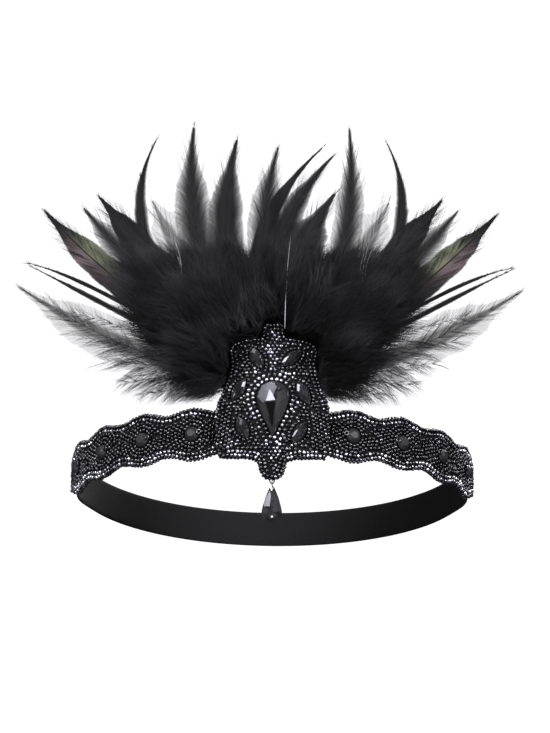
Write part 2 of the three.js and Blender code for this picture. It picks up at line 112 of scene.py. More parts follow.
# Half the motif's outline: share of the height, share of the half width.
MOTIF_OUTLINE = [
    (0, 0.07), (0.015, 0.16), (0.05, 0.21), (0.1, 0.235), (0.122, 0.3), (0.134, 0.45), (0.14, 0.93),
    (0.17, 0.99), (0.32, 1), (0.47, 1), (0.505, 0.97), (0.54, 0.92), (0.59, 0.86), (0.64, 0.81),
    (0.69, 0.77), (0.74, 0.75), (0.78, 0.77), (0.83, 0.79), (0.858, 0.76), (0.882, 0.66), (0.898, 0.5),
    (0.906, 0.21), (0.935, 0.19), (0.985, 0.185), (1, 0.14),
]

# Navettes: node, share of the half width across, share of the rise up, degrees that the top leans to +X.
NAVETTES = [
    ("navette_top_left", -0.3, 0.672, -30),
    ("navette_top_right", 0.32, 0.675, 50),
    ("navette_mid_left", -0.61, 0.375, 30),
    ("navette_mid_right", 0.54, 0.35, -27),
    ("navette_low_left", -0.53, 0.015, -24),
    ("navette_low_right", 0.47, -0.02, 29),
]

# Hackles: tip and bend, across and up, width, layer behind the first, opaque share of the width (core),
# opacity outside it (veil), share of the width moved to the inner side (skew), green and violet sheen
# painted into the vane's colour.
Hackle = namedtuple("Hackle", "tip_x tip_z bend_x bend_z width layer core veil skew sheen", defaults=(0, 0))
SIDE_HACKLES = [Hackle(*row) for row in [
    (109.5, 72.3, 57.3, 31.6, 20.0, 1, 0.02, 0.22),
    (104.3, 81.7, 77.0, 74.0, 2.0, 3, 0.50, 0.50),
    (103.5, 80.6, 67.8, 58.7, 2.6, 2, 0.45, 0.45),
    (97.9, 105.9, 70.0, 70.5, 12.8, 0, 0.90, 0.85, 0.0, 1.0),
    (80.9, 106.4, 62.0, 80.0, 12.5, 2, 0.04, 0.44),
    (74.1, 110.5, 53.0, 83.0, 12.5, 1, 0.88, 0.80),
    (48.4, 137.0, 75.0, 88.0, 6.0, 3, 0.45, 0.45, 0.2),
    (51.0, 108.0, 37.0, 76.0, 24.0, 4, 0.0, 0.21, 0.2),
]]
MIDDLE_HACKLES = [Hackle(*row) for row in [
    (-33.0, 142.0, -39.0, 80.0, 16.5, 0, 0.14, 0.45),
    (33.0, 142.0, 39.5, 80.0, 13.0, 0, 0.12, 0.40),
    (-14.0, 135.5, -28.0, 80.0, 15.5, 2, 0.36, 0.50),
    (3.6, 131.0, -9.6, 85.0, 14.0, 1, 0.10, 0.40),
    (24.1, 132.5, -26.0, 81.0, 7.5, 3, 0.65, 0.60),
    (28.4, 128.5, -15.5, 78.0, 13.0, 2, 0.36, 0.50),
    (28.4, 110.2, -2.0, 64.0, 20.0, 1, 0.50, 0.60),
]]

# Soft side plumes of the fluff, once on each side: tip across and up, bend across and up, barb length.
SIDE_WISPS = [
    (84.0, 55.0, 46.0, 42.0, 13.0),
    (78.0, 43.0, 44.0, 34.0, 15.0),
    (69.0, 32.0, 38.0, 27.0, 14.0),
    (61.0, 22.0, 33.0, 22.0, 12.0),
    (51.0, 16.5, 28.0, 18.0, 10.0),
    (40.0, 14.5, 22.0, 16.0, 7.0),
    (31.0, 14.0, 18.0, 15.0, 5.0),
]

# Locks that hang below the mound, once on each side: root across and up, tip across and up.
HANGING_LOCKS = [
    (60.0, 40.0, 79.0, 39.0), (58.0, 36.0, 74.0, 33.0), (54.0, 32.0, 70.0, 26.5), (50.0, 28.5, 65.0, 20.5),
    (46.0, 26.0, 61.0, 15.5), (43.0, 24.5, 56.0, 12.2), (38.0, 23.0, 51.0, 10.8), (34.0, 21.5, 46.0, 10.6),
    (29.0, 20.0, 40.5, 10.8), (25.0, 19.0, 35.0, 11.0), (22.0, 18.5, 30.0, 11.6),
    (21.0, 21.0, 26.0, 12.6), (24.0, 21.0, 30.5, 12.0), (27.0, 20.5, 37.5, 11.0), (32.0, 21.5, 43.0, 11.5),
]

# Bare pale quills among the fluff: root across and up, tip across and up, out from the parting, radius.
PALE_STRANDS = [
    (4.5, 40.0, 6.6, 82.0, 16.6, 0.2), (36.5, 64.0, 39.3, 81.0, 13.5, 0.14),
    (37.6, 66.0, 41.0, 79.0, 13.5, 0.12), (35.4, 67.0, 37.6, 77.0, 13.5, 0.12),
    (-38.5, 66.0, -42.0, 82.0, 13.5, 0.14), (-39.2, 69.0, -43.6, 79.0, 13.5, 0.12),
]

# Coats of hair on the mound: name, hairs, lift from the surface, length. The hair parts into locks.
COATS = [("inner", 11000, 0.15, 9.5), ("outer", 11000, 0.3, 11.5), ("loose", 6000, 0.5, 13.5)]
LOCKS = 260

# A hackle's vane: rings along the quill, corners round each, and where along it the painted sheen lies.
WEB_SHARES = np.linspace(0.1, 0.975, 110)
WEB_SIDES = 14
SHEEN_MIDDLE, SHEEN_REACH = 0.665, 0.11

# A hackle's outline: share of the length, share of the width.
BLADE = [
    (0, 0.3), (0.25, 0.75), (0.45, 1), (0.64, 0.98), (0.74, 0.72), (0.83, 0.34), (0.91, 0.16), (1, 0.03),
]


def turned(points, angle):
    """Points turned about X: y cos + z sin, z cos - y sin."""
    x, y, z = np.moveaxis(np.asarray(points, float), -1, 0)
    return np.stack([x, y * math.cos(angle) + z * math.sin(angle),
                     -y * math.sin(angle) + z * math.cos(angle)], -1)


def to_world(points):
    """Leaning-frame millimetres as upright metres."""
    return turned(points, LEAN) * MM


def unit(vectors):
    return vectors / np.maximum(np.linalg.norm(vectors, axis=-1, keepdims=True), 1e-9)


def circle(sides):
    """Angles evenly round a circle."""
    return 2 * math.pi * np.arange(sides) / sides


def blunt(values, power):
    """Values between -1 and 1 pushed outwards, for a rounded rectangle: the sign times |value| ** power."""
    return np.sign(values) * np.abs(values) ** power


def quadratic(start, bend, end, t):
    """(1 - t)^2 start + 2 t (1 - t) bend + t^2 end."""
    return (1 - t) ** 2 * start + 2 * t * (1 - t) * bend + t ** 2 * end


loop_angles = np.linspace(-math.pi, math.pi, 14401)
loop_depths = np.where(np.cos(loop_angles) > 0, LOOP_FRONT, LOOP_BACK)
loop_points = np.stack([LOOP_HALF_WIDTH * np.sin(loop_angles), -loop_depths * np.cos(loop_angles)], -1)
loop_travel = np.concatenate([[0], np.cumsum(np.linalg.norm(np.diff(loop_points, axis=0), axis=1))])
loop_travel -= np.interp(0, loop_angles, loop_travel)
LOOP_LENGTH = loop_travel[-1] - loop_travel[0]


def loop_frame(along):
    """Point, tangent and outward way of the two half ellipses, so far along from the front's middle."""
    along = (np.asarray(along, float) + LOOP_LENGTH / 2) % LOOP_LENGTH - LOOP_LENGTH / 2
    angle = np.interp(along, loop_travel, loop_angles)
    depth = np.where(np.cos(angle) > 0, LOOP_FRONT, LOOP_BACK)
    zero = np.zeros_like(angle)
    point = np.stack([LOOP_HALF_WIDTH * np.sin(angle), -depth * np.cos(angle), zero], -1)
    tangent = unit(np.stack([LOOP_HALF_WIDTH * np.cos(angle), depth * np.sin(angle), zero], -1))
    outward = np.stack([tangent[..., 1], -tangent[..., 0], zero], -1)
    return point, tangent, outward


def wrap(along, up, out):
    """A point of the loop's upright wall: the loop's point, plus up, plus out along its outward way."""
    along, up, out = np.broadcast_arrays(*(np.asarray(v, float) for v in (along, up, out)))
    point, _, outward = loop_frame(along)
    point = point + outward * out[..., None]
    point[..., 2] += up
    return point


def dip_at(along):
    """The loop's sag beside the ears: a squared cosine about its lowest place."""
    from_front = np.minimum(np.abs(along), LOOP_LENGTH - np.abs(along))
    off = np.clip((from_front - SIDE_DIP_AT) / SIDE_DIP_REACH, -1, 1)
    return -SIDE_DIP * np.cos(off * math.pi / 2) ** 2


def band_half_height(along):
    """Half the band's height: a cosine wave with a crest at each stone, rounded at the band's ends."""
    off = np.abs(along)
    wave = np.where(off < FIRST_LOBE - LOBE_PITCH / 2, -1,
                    np.cos(2 * math.pi * (off - FIRST_LOBE) / LOBE_PITCH))
    into_end = np.clip((off - BAND_HALF_LENGTH + BAND_END_ROUND) / BAND_END_ROUND, 0, BAND_END_CUT)
    return (BAND_HEIGHT / 2 + LOBE_DEPTH * wave) * np.sqrt(1 - into_end ** 2)


def parting(across, up):
    """The surface between fluff and hackles: a parabola that flares straight, leaning back above."""
    sweep = LOOP_FRONT / (2 * LOOP_HALF_WIDTH ** 2) * across ** 2 / (1 + np.abs(across) / PLUME_FLARE)
    return -LOOP_FRONT + sweep + math.tan(PLUME_LEAN) * np.maximum(up - PATCH_TOP, 0)


def add_object(name, data):
    made = bpy.data.objects.new(name, data)
    bpy.context.scene.collection.objects.link(made)
    return made


def smooth_mesh(name, points, faces, finish):
    """A smooth-shaded mesh of upright metre points and arrays of faces."""
    mesh = bpy.data.meshes.new(name)
    rows = [row for group in faces for row in np.asarray(group).tolist()]
    mesh.from_pydata(np.asarray(points, float).tolist(), [], rows)
    mesh.polygons.foreach_set("use_smooth", np.full(len(mesh.polygons), True))
    mesh.materials.append(finish)
    return mesh


def new_piece(name, points, faces, finish, slot, uv=None, **attributes):
    """A piece that rides on the headband, of leaning-frame points, with point attributes and a UV map."""
    mesh = smooth_mesh(name, to_world(points), faces, finish)
    for key, values in attributes.items():
        mesh.attributes.new(key, "FLOAT", "POINT").data.foreach_set("value", values.astype(np.float32))
    if uv is not None:
        corners = np.empty(len(mesh.loops), np.int32)
        mesh.loops.foreach_get("vertex_index", corners)
        mesh.uv_layers.new(name="UVMap").data.foreach_set("uv", uv[corners].astype(np.float32).ravel())
    mesh.update()
    piece = add_object(name, mesh)
    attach(piece, "headband")
    return piece


def side_quads(at):
    """Quads between neighbouring rings of corner numbers: at is (bodies, rings, corners)."""
    after = np.roll(at, -1, axis=2)
    return np.stack([at[:, :-1], after[:, :-1], after[:, 1:], at[:, 1:]], -1).reshape(-1, 4)


def rings_mesh(rings, close_ends=True):
    """Points and faces of bodies through rings of corners: rings is (bodies, rings, corners, 3)."""
    at = np.arange(rings.size // 3).reshape(rings.shape[:3])
    groups = [side_quads(at)]
    if close_ends:
        groups += [at[:, 0, ::-1], at[:, -1]]
    return rings.reshape(-1, 3), groups


def strands(lines, radius):
    """Fine hairs: each line (hairs, points, 3) carries three-cornered rings that end in a sharp tip."""
    hairs, count, _ = lines.shape
    tangent = unit(np.gradient(lines, axis=1))
    steep = np.abs(tangent[:, :1, 2:]) > 0.9
    other = np.where(steep, [1.0, 0, 0], [0, 0, 1.0])
    side = unit(np.cross(tangent, other))
    lift = np.cross(tangent, side)
    turn = circle(3)[:, None]
    spread = np.cos(turn) * side[:, :, None] + np.sin(turn) * lift[:, :, None]
    rings = (lines[:, :, None] + radius[:, :, None, None] * spread)[:, :-1]
    corners = (count - 1) * 3
    first = np.arange(hairs) * (corners + 1)
    at = first[:, None, None] + np.arange(corners).reshape(1, -1, 3)
    tip = np.broadcast_to((first + corners)[:, None], (hairs, 3))
    tips = np.stack([at[:, -1], np.roll(at[:, -1], -1, axis=1), tip], -1).reshape(-1, 3)
    points = np.concatenate([rings.reshape(hairs, -1, 3), lines[:, -1:]], 1)
    return points.reshape(-1, 3), [side_quads(at), tips, at[:, 0, ::-1]]


class Wire:
    """A shader value. Arithmetic on it adds Math nodes."""

    def __init__(self, finish, socket):
        self.finish = finish
        self.socket = socket

    def math(self, operation, *values):
        """A Math node of this value and the others."""
        return self.finish.math(operation, self, *values)

    def clamp(self):
        return self.math("MAXIMUM", 0.0).math("MINIMUM", 1.0)

    def __add__(self, other):
        return self.math("ADD", other)

    def __sub__(self, other):
        return self.math("SUBTRACT", other)

    def __rsub__(self, other):
        return self.finish.math("SUBTRACT", other, self)

    def __mul__(self, other):
        return self.math("MULTIPLY", other)

    def __truediv__(self, other):
        return self.math("DIVIDE", other)

    def __rtruediv__(self, other):
        return self.finish.math("DIVIDE", other, self)

    def __gt__(self, other):
        return self.math("GREATER_THAN", other)

    def __abs__(self):
        return self.math("ABSOLUTE")

    __radd__ = __add__
    __rmul__ = __mul__


class Finish:
    """A material being made. node() adds any node; surface() sets the shader's sockets."""

    def __init__(self, name):
        self.material = bpy.data.materials.new(name)
        self.material.use_nodes = True
        self.tree = self.material.node_tree
        self.tree.nodes.clear()

    def put(self, socket, value):
        if isinstance(value, Wire):
            self.tree.links.new(value.socket, socket)
        else:
            socket.default_value = value

    def node(self, kind, inputs=None, output=0, **settings):
        made = self.tree.nodes.new("ShaderNode" + kind)
        for key, value in settings.items():
            setattr(made, key, value)
        for key, value in (inputs or {}).items():
            self.put(made.inputs[key], value)
        return Wire(self, made.outputs[output])

    def math(self, operation, *values):
        return self.node("Math", dict(enumerate(values)), operation=operation)

    def split(self, vector):
        """A vector's three parts."""
        parts = self.node("SeparateXYZ", {0: vector})
        return [Wire(self, part) for part in parts.socket.node.outputs]

    def surface(self, normal=None, **sockets):
        shader = self.tree.nodes.new("ShaderNodeBsdfPrincipled")
        for key, value in sockets.items():
            self.put(shader.inputs[key.replace("_", " ")], value)
        if normal is not None:
            self.put(shader.inputs["Normal"], normal)
        out = self.tree.nodes.new("ShaderNodeOutputMaterial")
        self.tree.links.new(shader.outputs["BSDF"], out.inputs["Surface"])
        return self.material

    def place(self, output="Object"):
        return self.node("TexCoord", output=output)

    def attribute(self, name):
        return self.node("Attribute", output="Fac", attribute_name=name)

    def noise(self, vector, scale, detail=3.0):
        return self.node("TexNoise", {"Vector": vector, "Scale": scale, "Detail": detail})

    def painted_facets(self, vector):
        """Painted reflections of facets seen through glass: one value for each cell."""
        colour = self.node("TexVoronoi", {"Vector": vector, "Scale": FACET_CELLS}, "Color")
        return self.node("SeparateColor", {0: colour})

    def blend(self, factor, first, second):
        return self.node("Mix", {0: factor, 6: first, 7: second}, 2, data_type="RGBA")

    def bump(self, height, distance, strength=1.0):
        return self.node("Bump", {"Height": height, "Distance": distance, "Strength": strength})

    def ramp(self, factor, *stops):
        """A colour ramp with stops of a place and a colour."""
        made = self.node("ValToRGB", {"Fac": factor})
        elements = made.socket.node.color_ramp.elements
        while len(elements) < len(stops):
            elements.new(0.5)
        for element, (place, colour) in zip(elements, stops):
            element.position, element.color = place, colour
        return made


def grey(value):
    """A dark tone with the black glass's touch of lavender."""
    return (value, value * 0.98, value * 1.16, 1)


def felt_finish():
    """Matte black felt: fibre noise in colour and bump."""
    f = Finish("black_felt")
    place = f.place()
    fibres = f.noise(place, 2600.0, 4.0)
    cloud = f.noise(place, 240.0)
    colour = f.blend(fibres * cloud * 1.6, grey(0.003), grey(0.016))
    return f.surface(f.bump(fibres, 0.0003), Base_Color=colour, Roughness=0.95, Specular_IOR_Level=0.15)


def elastic_finish():
    """Woven elastic: ribs across its length and fine cords along it, denser along the two edges."""
    f = Finish("black_elastic")
    along, upward, _ = f.split(f.place("UV"))
    ribs = (along * (2 * math.pi / 0.9)).math("SINE")
    cords = (upward * (2 * math.pi / 0.7)).math("SINE")
    weave = ribs * cords * 0.5 + 0.5
    worn = f.noise(f.place(), 90.0, 4.0)
    selvedge = abs(upward) / (ELASTIC_WIDTH / 2) > 0.86
    colour = f.blend(weave * 0.35 + worn * 0.35, grey(0.0045), grey(0.0095))
    colour = f.blend(selvedge * 0.5, colour, grey(0.006))
    return f.surface(f.bump(weave, 0.00012, 0.7), Base_Color=colour, Roughness=0.85,
                     Specular_IOR_Level=0.25)


def seed_finish():
    """Hematite seed beads: dark mirrors, some blacker and some greyer by their own tone."""
    f = Finish("black_seed_beads")
    tone = f.attribute("tone")
    dust = f.noise(f.place(), 900.0)
    colour = f.ramp(tone, (0.0, grey(0.02)), (0.5, grey(0.08)), (0.85, grey(0.25)), (1.0, grey(0.5)))
    return f.surface(Base_Color=colour, Roughness=dust * 0.14 + 0.16, Metallic=0.92,
                     Coat_Weight=0.5, Coat_Roughness=0.1)


def crystal_finish():
    """Grey cut beads with a mirrored back: the tone runs from smoke to bright silver."""
    f = Finish("silver_cut_beads")
    tone = f.attribute("tone")
    dust = f.noise(f.place(), 1200.0)
    colour = f.ramp(tone, (0.0, grey(0.06)), (0.3, grey(0.3)), (0.7, grey(0.8)), (1.0, grey(1.0)))
    return f.surface(Base_Color=colour, Roughness=dust * 0.14 + 0.2, Metallic=0.95,
                     Coat_Weight=0.6, Coat_Roughness=0.06)


def facet_mask(across, upward, corners):
    """1 inside a convex outline of corners, in millimetres and anticlockwise: each side is a half plane."""
    inside = None
    for (x0, z0), (x1, z1) in zip(corners, corners[1:] + corners[:1]):
        left = (upward - z0) * (x1 - x0) - (across - x0) * (z1 - z0)
        side = left > 0.0
        inside = side if inside is None else inside * side
    return inside


def stone_finish(name, middle, body, flashes):
    """Cut glass over foil: the back facets' reflections are painted in, as cells and as flat flash patches
    given in millimetres about the stone's middle.
    """
    f = Finish(name)
    place = f.place()
    x, y, z = f.split(place)
    across = x / MM - middle[0]
    upward = (y * math.sin(LEAN) + z * math.cos(LEAN)) / MM - middle[1]
    # Painted reflections of the back facets: cells between a darker and a lighter grey of the body.
    colour = f.blend(f.painted_facets(place), grey(body * 0.35), grey(body * 1.5))
    # Painted flashes: flat patches of bright and dark facet reflections.
    for corners, value in flashes:
        tint = (value * 0.93, value * 0.92, value * 1.06, 1)
        colour = f.blend(facet_mask(across, upward, corners), colour, tint)
    dust = f.noise(place, 500.0)
    return f.surface(Base_Color=colour, Roughness=dust * 0.05 + 0.04, Specular_IOR_Level=0.6,
                     Coat_Weight=0.8, Coat_Roughness=0.02)


def jet_finish():
    """Worn black glass: a satin grey bloom over black, with faint painted reflections of the facets behind,
    as cells.
    """
    f = Finish("black_glass")
    place = f.place()
    dust = f.noise(place, 500.0)
    # Colour by dust, and by painted facet reflections from the cells, between black and dark grey.
    colour = f.blend(f.painted_facets(place) * 0.6 + dust * 0.4, grey(0.012), grey(0.03))
    return f.surface(Base_Color=colour, Roughness=dust * 0.15 + 0.38, Specular_IOR_Level=0.22)


def wire_finish():
    f = Finish("gunmetal_wire")
    drawn = f.noise(f.place(), 3000.0)
    colour = f.blend(drawn, grey(0.012), grey(0.04))
    return f.surface(Base_Color=colour, Metallic=0.5, Roughness=drawn * 0.2 + 0.3, Specular_IOR_Level=0.2)


def web_finish():
    """A hackle's vane: barb lines slant from the quill, opaque beside it and open towards the edge.

    Where it shines, a painted sheen makes it green on the upper side and violet on the lower one."""
    f = Finish("hackle_web")
    across, along, _ = f.split(f.place("UV"))
    sheen, core, veil, edge = (f.attribute(name) for name in ("sheen", "core", "veil", "edge"))
    off = abs(across)
    row = along - off * 0.9
    barbs = (row * (2 * math.pi / 0.8)).math("SINE") * 0.5 + 0.5
    streak = f.node("CombineXYZ", {"X": row * 1.1, "Y": off * 0.06, "Z": across.math("SIGN") * 9})
    streaks = f.noise(streak, 1.0)
    cloud = f.noise(f.place(), 110.0)
    quill = (0.008, 0.008, 0.008, 1)
    # The painted sheen's colours: violet below the quill, green above it.
    hue = f.ramp(across.math("MULTIPLY_ADD", 0.16, 0.5),
                 (0.0, (0.15, 0.11, 0.125, 1)), (0.42, (0.13, 0.10, 0.10, 1)), (0.49, quill),
                 (0.51, quill), (0.58, (0.15, 0.15, 0.10, 1)), (1.0, (0.17, 0.19, 0.125, 1)))
    black = f.blend((streaks - 0.3) * cloud * 3.0, grey(0.001), grey(0.016))
    # Painted sheen: the hue laid over the black where the sheen attribute is high.
    colour = f.blend(sheen * (barbs * 0.5 + 0.35) * cloud * 1.8, black, hue)
    fade = (edge - core) / (1.001 - core) * (0.55 / veil).math("MAXIMUM", 1.0)
    fade = fade.math("MAXIMUM", 0.0).math("SMOOTH_MIN", 1.0, 0.1)
    torn = ((streaks - 0.3) * 4.5).clamp() * 0.5 + 0.5
    open_vane = veil * (barbs * 0.2 + 0.8) * torn * (1.2 - edge * 0.4)
    alpha = (fade * open_vane + (1 - fade)) * ((1.03 - edge) * 7).clamp()
    return f.surface(f.bump(barbs, 0.0002, 0.6), Base_Color=colour, Roughness=0.6, Alpha=alpha,
                     Specular_IOR_Level=0.12)


def strand_finish(name, dark, pale, roughness):
    """Feather fibre: each strand has its own tone, even along it; the paler tones stand in for light coming
    through the fibre.
    """
    f = Finish(name)
    tone = f.attribute("tone")
    cloud = f.noise(f.place(), 60.0)
    colour = f.blend(tone * cloud * 1.5, dark, pale)
    return f.surface(Base_Color=colour, Roughness=roughness, Specular_IOR_Level=0.15)


def quill_finish():
    f = Finish("quill_horn")
    tone = f.attribute("tone")
    streak = f.noise(f.place(), 700.0)
    colour = f.ramp(tone, (0.0, grey(0.002)), (0.7, grey(0.01)), (1.0, grey(0.35)))
    return f.surface(f.bump(streak, 0.0001), Base_Color=colour, Roughness=streak * 0.2 + 0.5,
                     Specular_IOR_Level=0.15)


def stage_finish():
    """Pale paper: near white by its own faint glow, with a grain too fine to see."""
    f = Finish("pale_paper")
    grain = f.noise(f.place(), 30.0)
    colour = f.blend(grain, grey(0.28), grey(0.3))
    return f.surface(Base_Color=colour, Roughness=0.9, Emission_Color=(1, 1, 1, 1), Emission_Strength=1.0)


FELT = felt_finish()
ELASTIC = elastic_finish()
SEEDS = seed_finish()
CRYSTALS = crystal_finish()
BLACK_GLASS = jet_finish()
WIRE = wire_finish()
WEB = web_finish()
BARBS = strand_finish("hackle_barbs", grey(0.002), grey(0.012), 0.6)
FLUFF = strand_finish("marabou_hair", grey(0.0032), grey(0.06), 0.75)
QUILL = quill_finish()
PAPER = stage_finish()

# Painted reflections of the cut stones' facets, bright and dark: corners, in millimetres about the stone's
# middle, and brightness.
PEAR_FLASHES = [
    ([(-6.4, 4.5), (-4.2, 1.6), (-0.4, 3.4), (1.6, 8.6), (-1.0, 11.3), (-4.6, 9.4)], 0.13),
    ([(-6.4, 4.5), (-5.4, 6.6), (-3.0, 5.6), (-4.2, 1.6)], 0.2),
    ([(-3.1, 7.2), (-1.5, 6.2), (1.4, 8.4), (0.2, 10.6), (-2.4, 10.0)], 0.16),
    ([(-2.9, 2.2), (0.9, 2.6), (-0.2, 5.2), (-1.5, 7.2)], 0.5),
    ([(-0.2, -8.8), (1.0, 2.0), (-3.0, 1.8)], 0.0015),
    ([(0.6, -8.0), (3.6, -4.5), (6.2, 3.5), (4.4, 8.0), (1.6, 5.0), (1.2, -1.0)], 0.036),
    ([(-0.8, -9.0), (-3.4, 1.6), (-5.6, 1.2), (-3.2, -5.5)], 0.03),
]
DROP_FLASHES = [
    ([(-0.9, 5.0), (-3.4, 1.0), (-3.2, -1.2), (-0.9, -1.6), (-0.4, 3.0)], 0.3),
    ([(-2.9, -1.9), (0.9, -1.9), (0.4, 3.6), (-0.6, -1.6), (-2.9, -1.6)], 0.003),
    ([(0.4, 4.4), (0.9, -2.2), (3.4, -3.4), (3.8, -1.0), (2.4, 2.2)], 0.04),
    ([(-0.3, -6.0), (0.5, -6.0), (0.5, -5.2), (-0.3, -5.2)], 0.9),
]
NAVETTE_FLASHES = [
    ([(-2.6, 2.0), (-1.2, 1.4), (-0.4, 3.4), (-1.8, 4.2)], 0.16),
    ([(-3.6, -2.2), (-2.2, -2.0), (-0.8, 0.2), (-2.4, -0.4)], 0.75),
    ([(0.4, 0.6), (1.6, 1.0), (2.4, 3.6), (1.0, 2.6)], 0.7),
    ([(-2.6, 1.0), (-1.2, 0.2), (-1.0, 2.8), (-2.2, 3.8)], 0.65),
    ([(-2.0, 1.0), (-1.0, 0.6), (-0.6, 3.0), (-1.6, 4.0)], 0.1),
    ([(-2.6, -2.6), (-1.2, -1.6), (0.0, 0.6), (-1.2, 0.0)], 0.5),
]


def seat_bead_frames(along, up, out, heading):
    """Axes of beads on the loop's wall: their hole runs along heading in the wall, one axis points out."""
    _, tangent, outward = loop_frame(along)
    upward = np.broadcast_to([0.0, 0, 1], tangent.shape)
    hole = tangent * np.cos(heading)[:, None] + upward * np.sin(heading)[:, None]
    return wrap(along, up, out), hole, outward


def bead_rings(centre, hole, outward, radius, profile, sides, spin):
    """Bodies of turning: each row of the profile is a place along the hole and a radius, in radii."""
    place, size = np.array(profile).T
    turn = circle(sides) + spin[:, None]
    side = np.cross(hole, outward)
    spread = np.cos(turn)[..., None] * outward[:, None] + np.sin(turn)[..., None] * side[:, None]
    spread = spread * np.sign(np.sum(np.cross(outward, side) * hole, -1))[:, None, None]
    return centre[:, None, None] + radius[:, None, None, None] * (
        place[None, :, None, None] * hole[:, None, None] + size[None, :, None, None] * spread[:, None])


# Profiles of the beads, place along the hole and radius: seed bead, cut bead, bead seen along its hole.
SEED_PROFILE = [(-0.8, 0.45), (-0.6, 0.84), (0, 1), (0.6, 0.84), (0.8, 0.45)]
CUT_PROFILE = [(-0.8, 0.4), (-0.45, 0.88), (0, 1), (0.45, 0.88), (0.8, 0.4)]
RING_PROFILE = [(-0.2, 0.45), (-0.4, 0.72), (-0.2, 1), (0.2, 1), (0.4, 0.72), (0.2, 0.45)]


def even_steps(line, pitch, start=0.0):
    """Places every pitch along a line of points, with the line's heading there."""
    step = np.linalg.norm(np.diff(line, axis=0), axis=1)
    travel = np.concatenate([[0], np.cumsum(step)])
    at = np.arange(start, travel[-1], pitch)
    spots, ahead, behind = (np.stack([np.interp(at + off, travel, line[:, i]) for i in range(2)], -1)
                            for off in (0, 0.4, -0.4))
    return np.column_stack([spots, np.arctan2(*(ahead - behind).T[::-1])])


class Beadwork:
    """Bead places on a flat pattern, laid one row after another: a bead keeps clear of those before.

    Each row of the table: across, up, heading, 1 for a cut and 0 for a seed bead, radius, sink."""

    def __init__(self, allowed):
        self.allowed = allowed
        self.rows = np.empty((0, 6))

    def lay(self, places, cut, radius, gap, sink=0.0):
        """places: across, up, heading. A bead nearer than gap to another is left out."""
        for place in places[self.allowed(places[:, 0], places[:, 1])]:
            if np.all(np.hypot(*(self.rows[:, :2] - place[:2]).T) > gap):
                self.rows = np.vstack([self.rows, [*place, cut, radius, sink]])


def ring_line(centre, radius):
    turn = np.linspace(0, 2 * math.pi, 73)
    return np.column_stack([centre[0] + radius * np.cos(turn), centre[1] + radius * np.sin(turn)])


def hex_places(low, high, pitch, slant):
    """Staggered rows at a slant, a pitch apart, over a box."""
    reach = max(high[0] - low[0], high[1] - low[1])
    count = int(reach / pitch) + 2
    i, j = np.meshgrid(np.arange(-count, count), np.arange(-count, count))
    u, v = (i + 0.5 * (j % 2)) * pitch, j * pitch * 0.9
    middle = (np.array(low) + np.array(high)) / 2
    x = middle[0] + u * math.cos(slant) - v * math.sin(slant)
    z = middle[1] + u * math.sin(slant) + v * math.cos(slant)
    inside = (x > low[0]) & (x < high[0]) & (z > low[1]) & (z < high[1])
    return np.column_stack([x[inside], z[inside], np.full(inside.sum(), slant)])


def motif_half_width(up):
    share, width = np.array(MOTIF_OUTLINE).T
    return np.interp(up, -MOTIF_FALL + share * (MOTIF_RISE + MOTIF_FALL), width * MOTIF_HALF_WIDTH, 0, 0)


def band_beads():
    """The band's beads: rows along both scalloped edges, rings round the stones, slanting rows between."""
    stones = [(side * (FIRST_LOBE + LOBE_PITCH * lobe), 0.0)
              for side in (-1, 1) for lobe in range(LOBES_A_SIDE)]

    def allowed(along, up):
        clear = np.ones(len(along), bool)
        for across, _ in stones:
            clear &= np.hypot(along - across, up) > BAND_STONE / 2 + 0.6
        under = (np.abs(along) < motif_half_width(up) - 1.5) & (np.abs(along) < MOTIF_HALF_WIDTH)
        inside = np.abs(up) < band_half_height(along) + 0.4
        return clear & ~under & inside & (np.abs(along) < BAND_HALF_LENGTH - 0.8)

    work = Beadwork(allowed)
    rim = Beadwork(lambda along, up: np.abs(along) > MOTIF_HALF_WIDTH - 1)
    along = np.linspace(-BAND_HALF_LENGTH, BAND_HALF_LENGTH, 900)
    half = band_half_height(along)
    for edge, inset, cut, radius, pitch in [(1, 0.5, 0, 0.76, 1.55), (-1, 0.55, 1, 0.76, 1.7),
                                            (1, 2.15, 1, 0.8, 1.85), (-1, 2.3, 1, 0.78, 1.8)]:
        line = np.column_stack([along, edge * (half - inset)])
        work.lay(even_steps(line, pitch), cut, radius, 1.42)
        if inset < 1:
            rim.lay(even_steps(line + [0, edge * 0.6], pitch, 0.8), 0, 0.74, 1.2, 1.1)
    for radius in np.arange(BAND_STONE / 2 + 1.1, LOBE_PITCH / 2 + 1, 1.6):
        for stone in stones:
            work.lay(even_steps(ring_line(stone, radius), 1.58, 0.6 * radius), 0, 0.79, 1.4)
    box = ((-BAND_HALF_LENGTH, -BAND_HEIGHT / 2), (BAND_HALF_LENGTH, BAND_HEIGHT / 2))
    for pitch, gap in ((1.62, 1.4), (0.6, 1.44)):
        for side in (-1, 1):
            places = hex_places(*box, pitch, side * BAND_SLANT)
            work.lay(places[np.sign(places[:, 0]) == side], 0, 0.78, gap)
    return np.vstack([work.rows, rim.rows])


def pear_line(grow):
    """The pear's outline grown outwards: a big arc above, a small arc below, straight sides."""
    big, small = PEAR_WIDTH / 2 + grow, PEAR_TIP_RADIUS + grow
    top = PEAR_MIDDLE + PEAR_LENGTH / 2 - PEAR_WIDTH / 2
    foot = PEAR_MIDDLE - PEAR_LENGTH / 2 + PEAR_TIP_RADIUS
    lean = math.asin((big - small) / (top - foot))
    over = np.linspace(-lean, math.pi + lean, 40)
    under = np.linspace(math.pi + lean, 2 * math.pi - lean, 20)
    arc = np.column_stack([big * np.cos(over), top + big * np.sin(over)])
    toe = np.column_stack([small * np.cos(under), foot + small * np.sin(under)])
    return np.concatenate([arc, toe, arc[:1]])


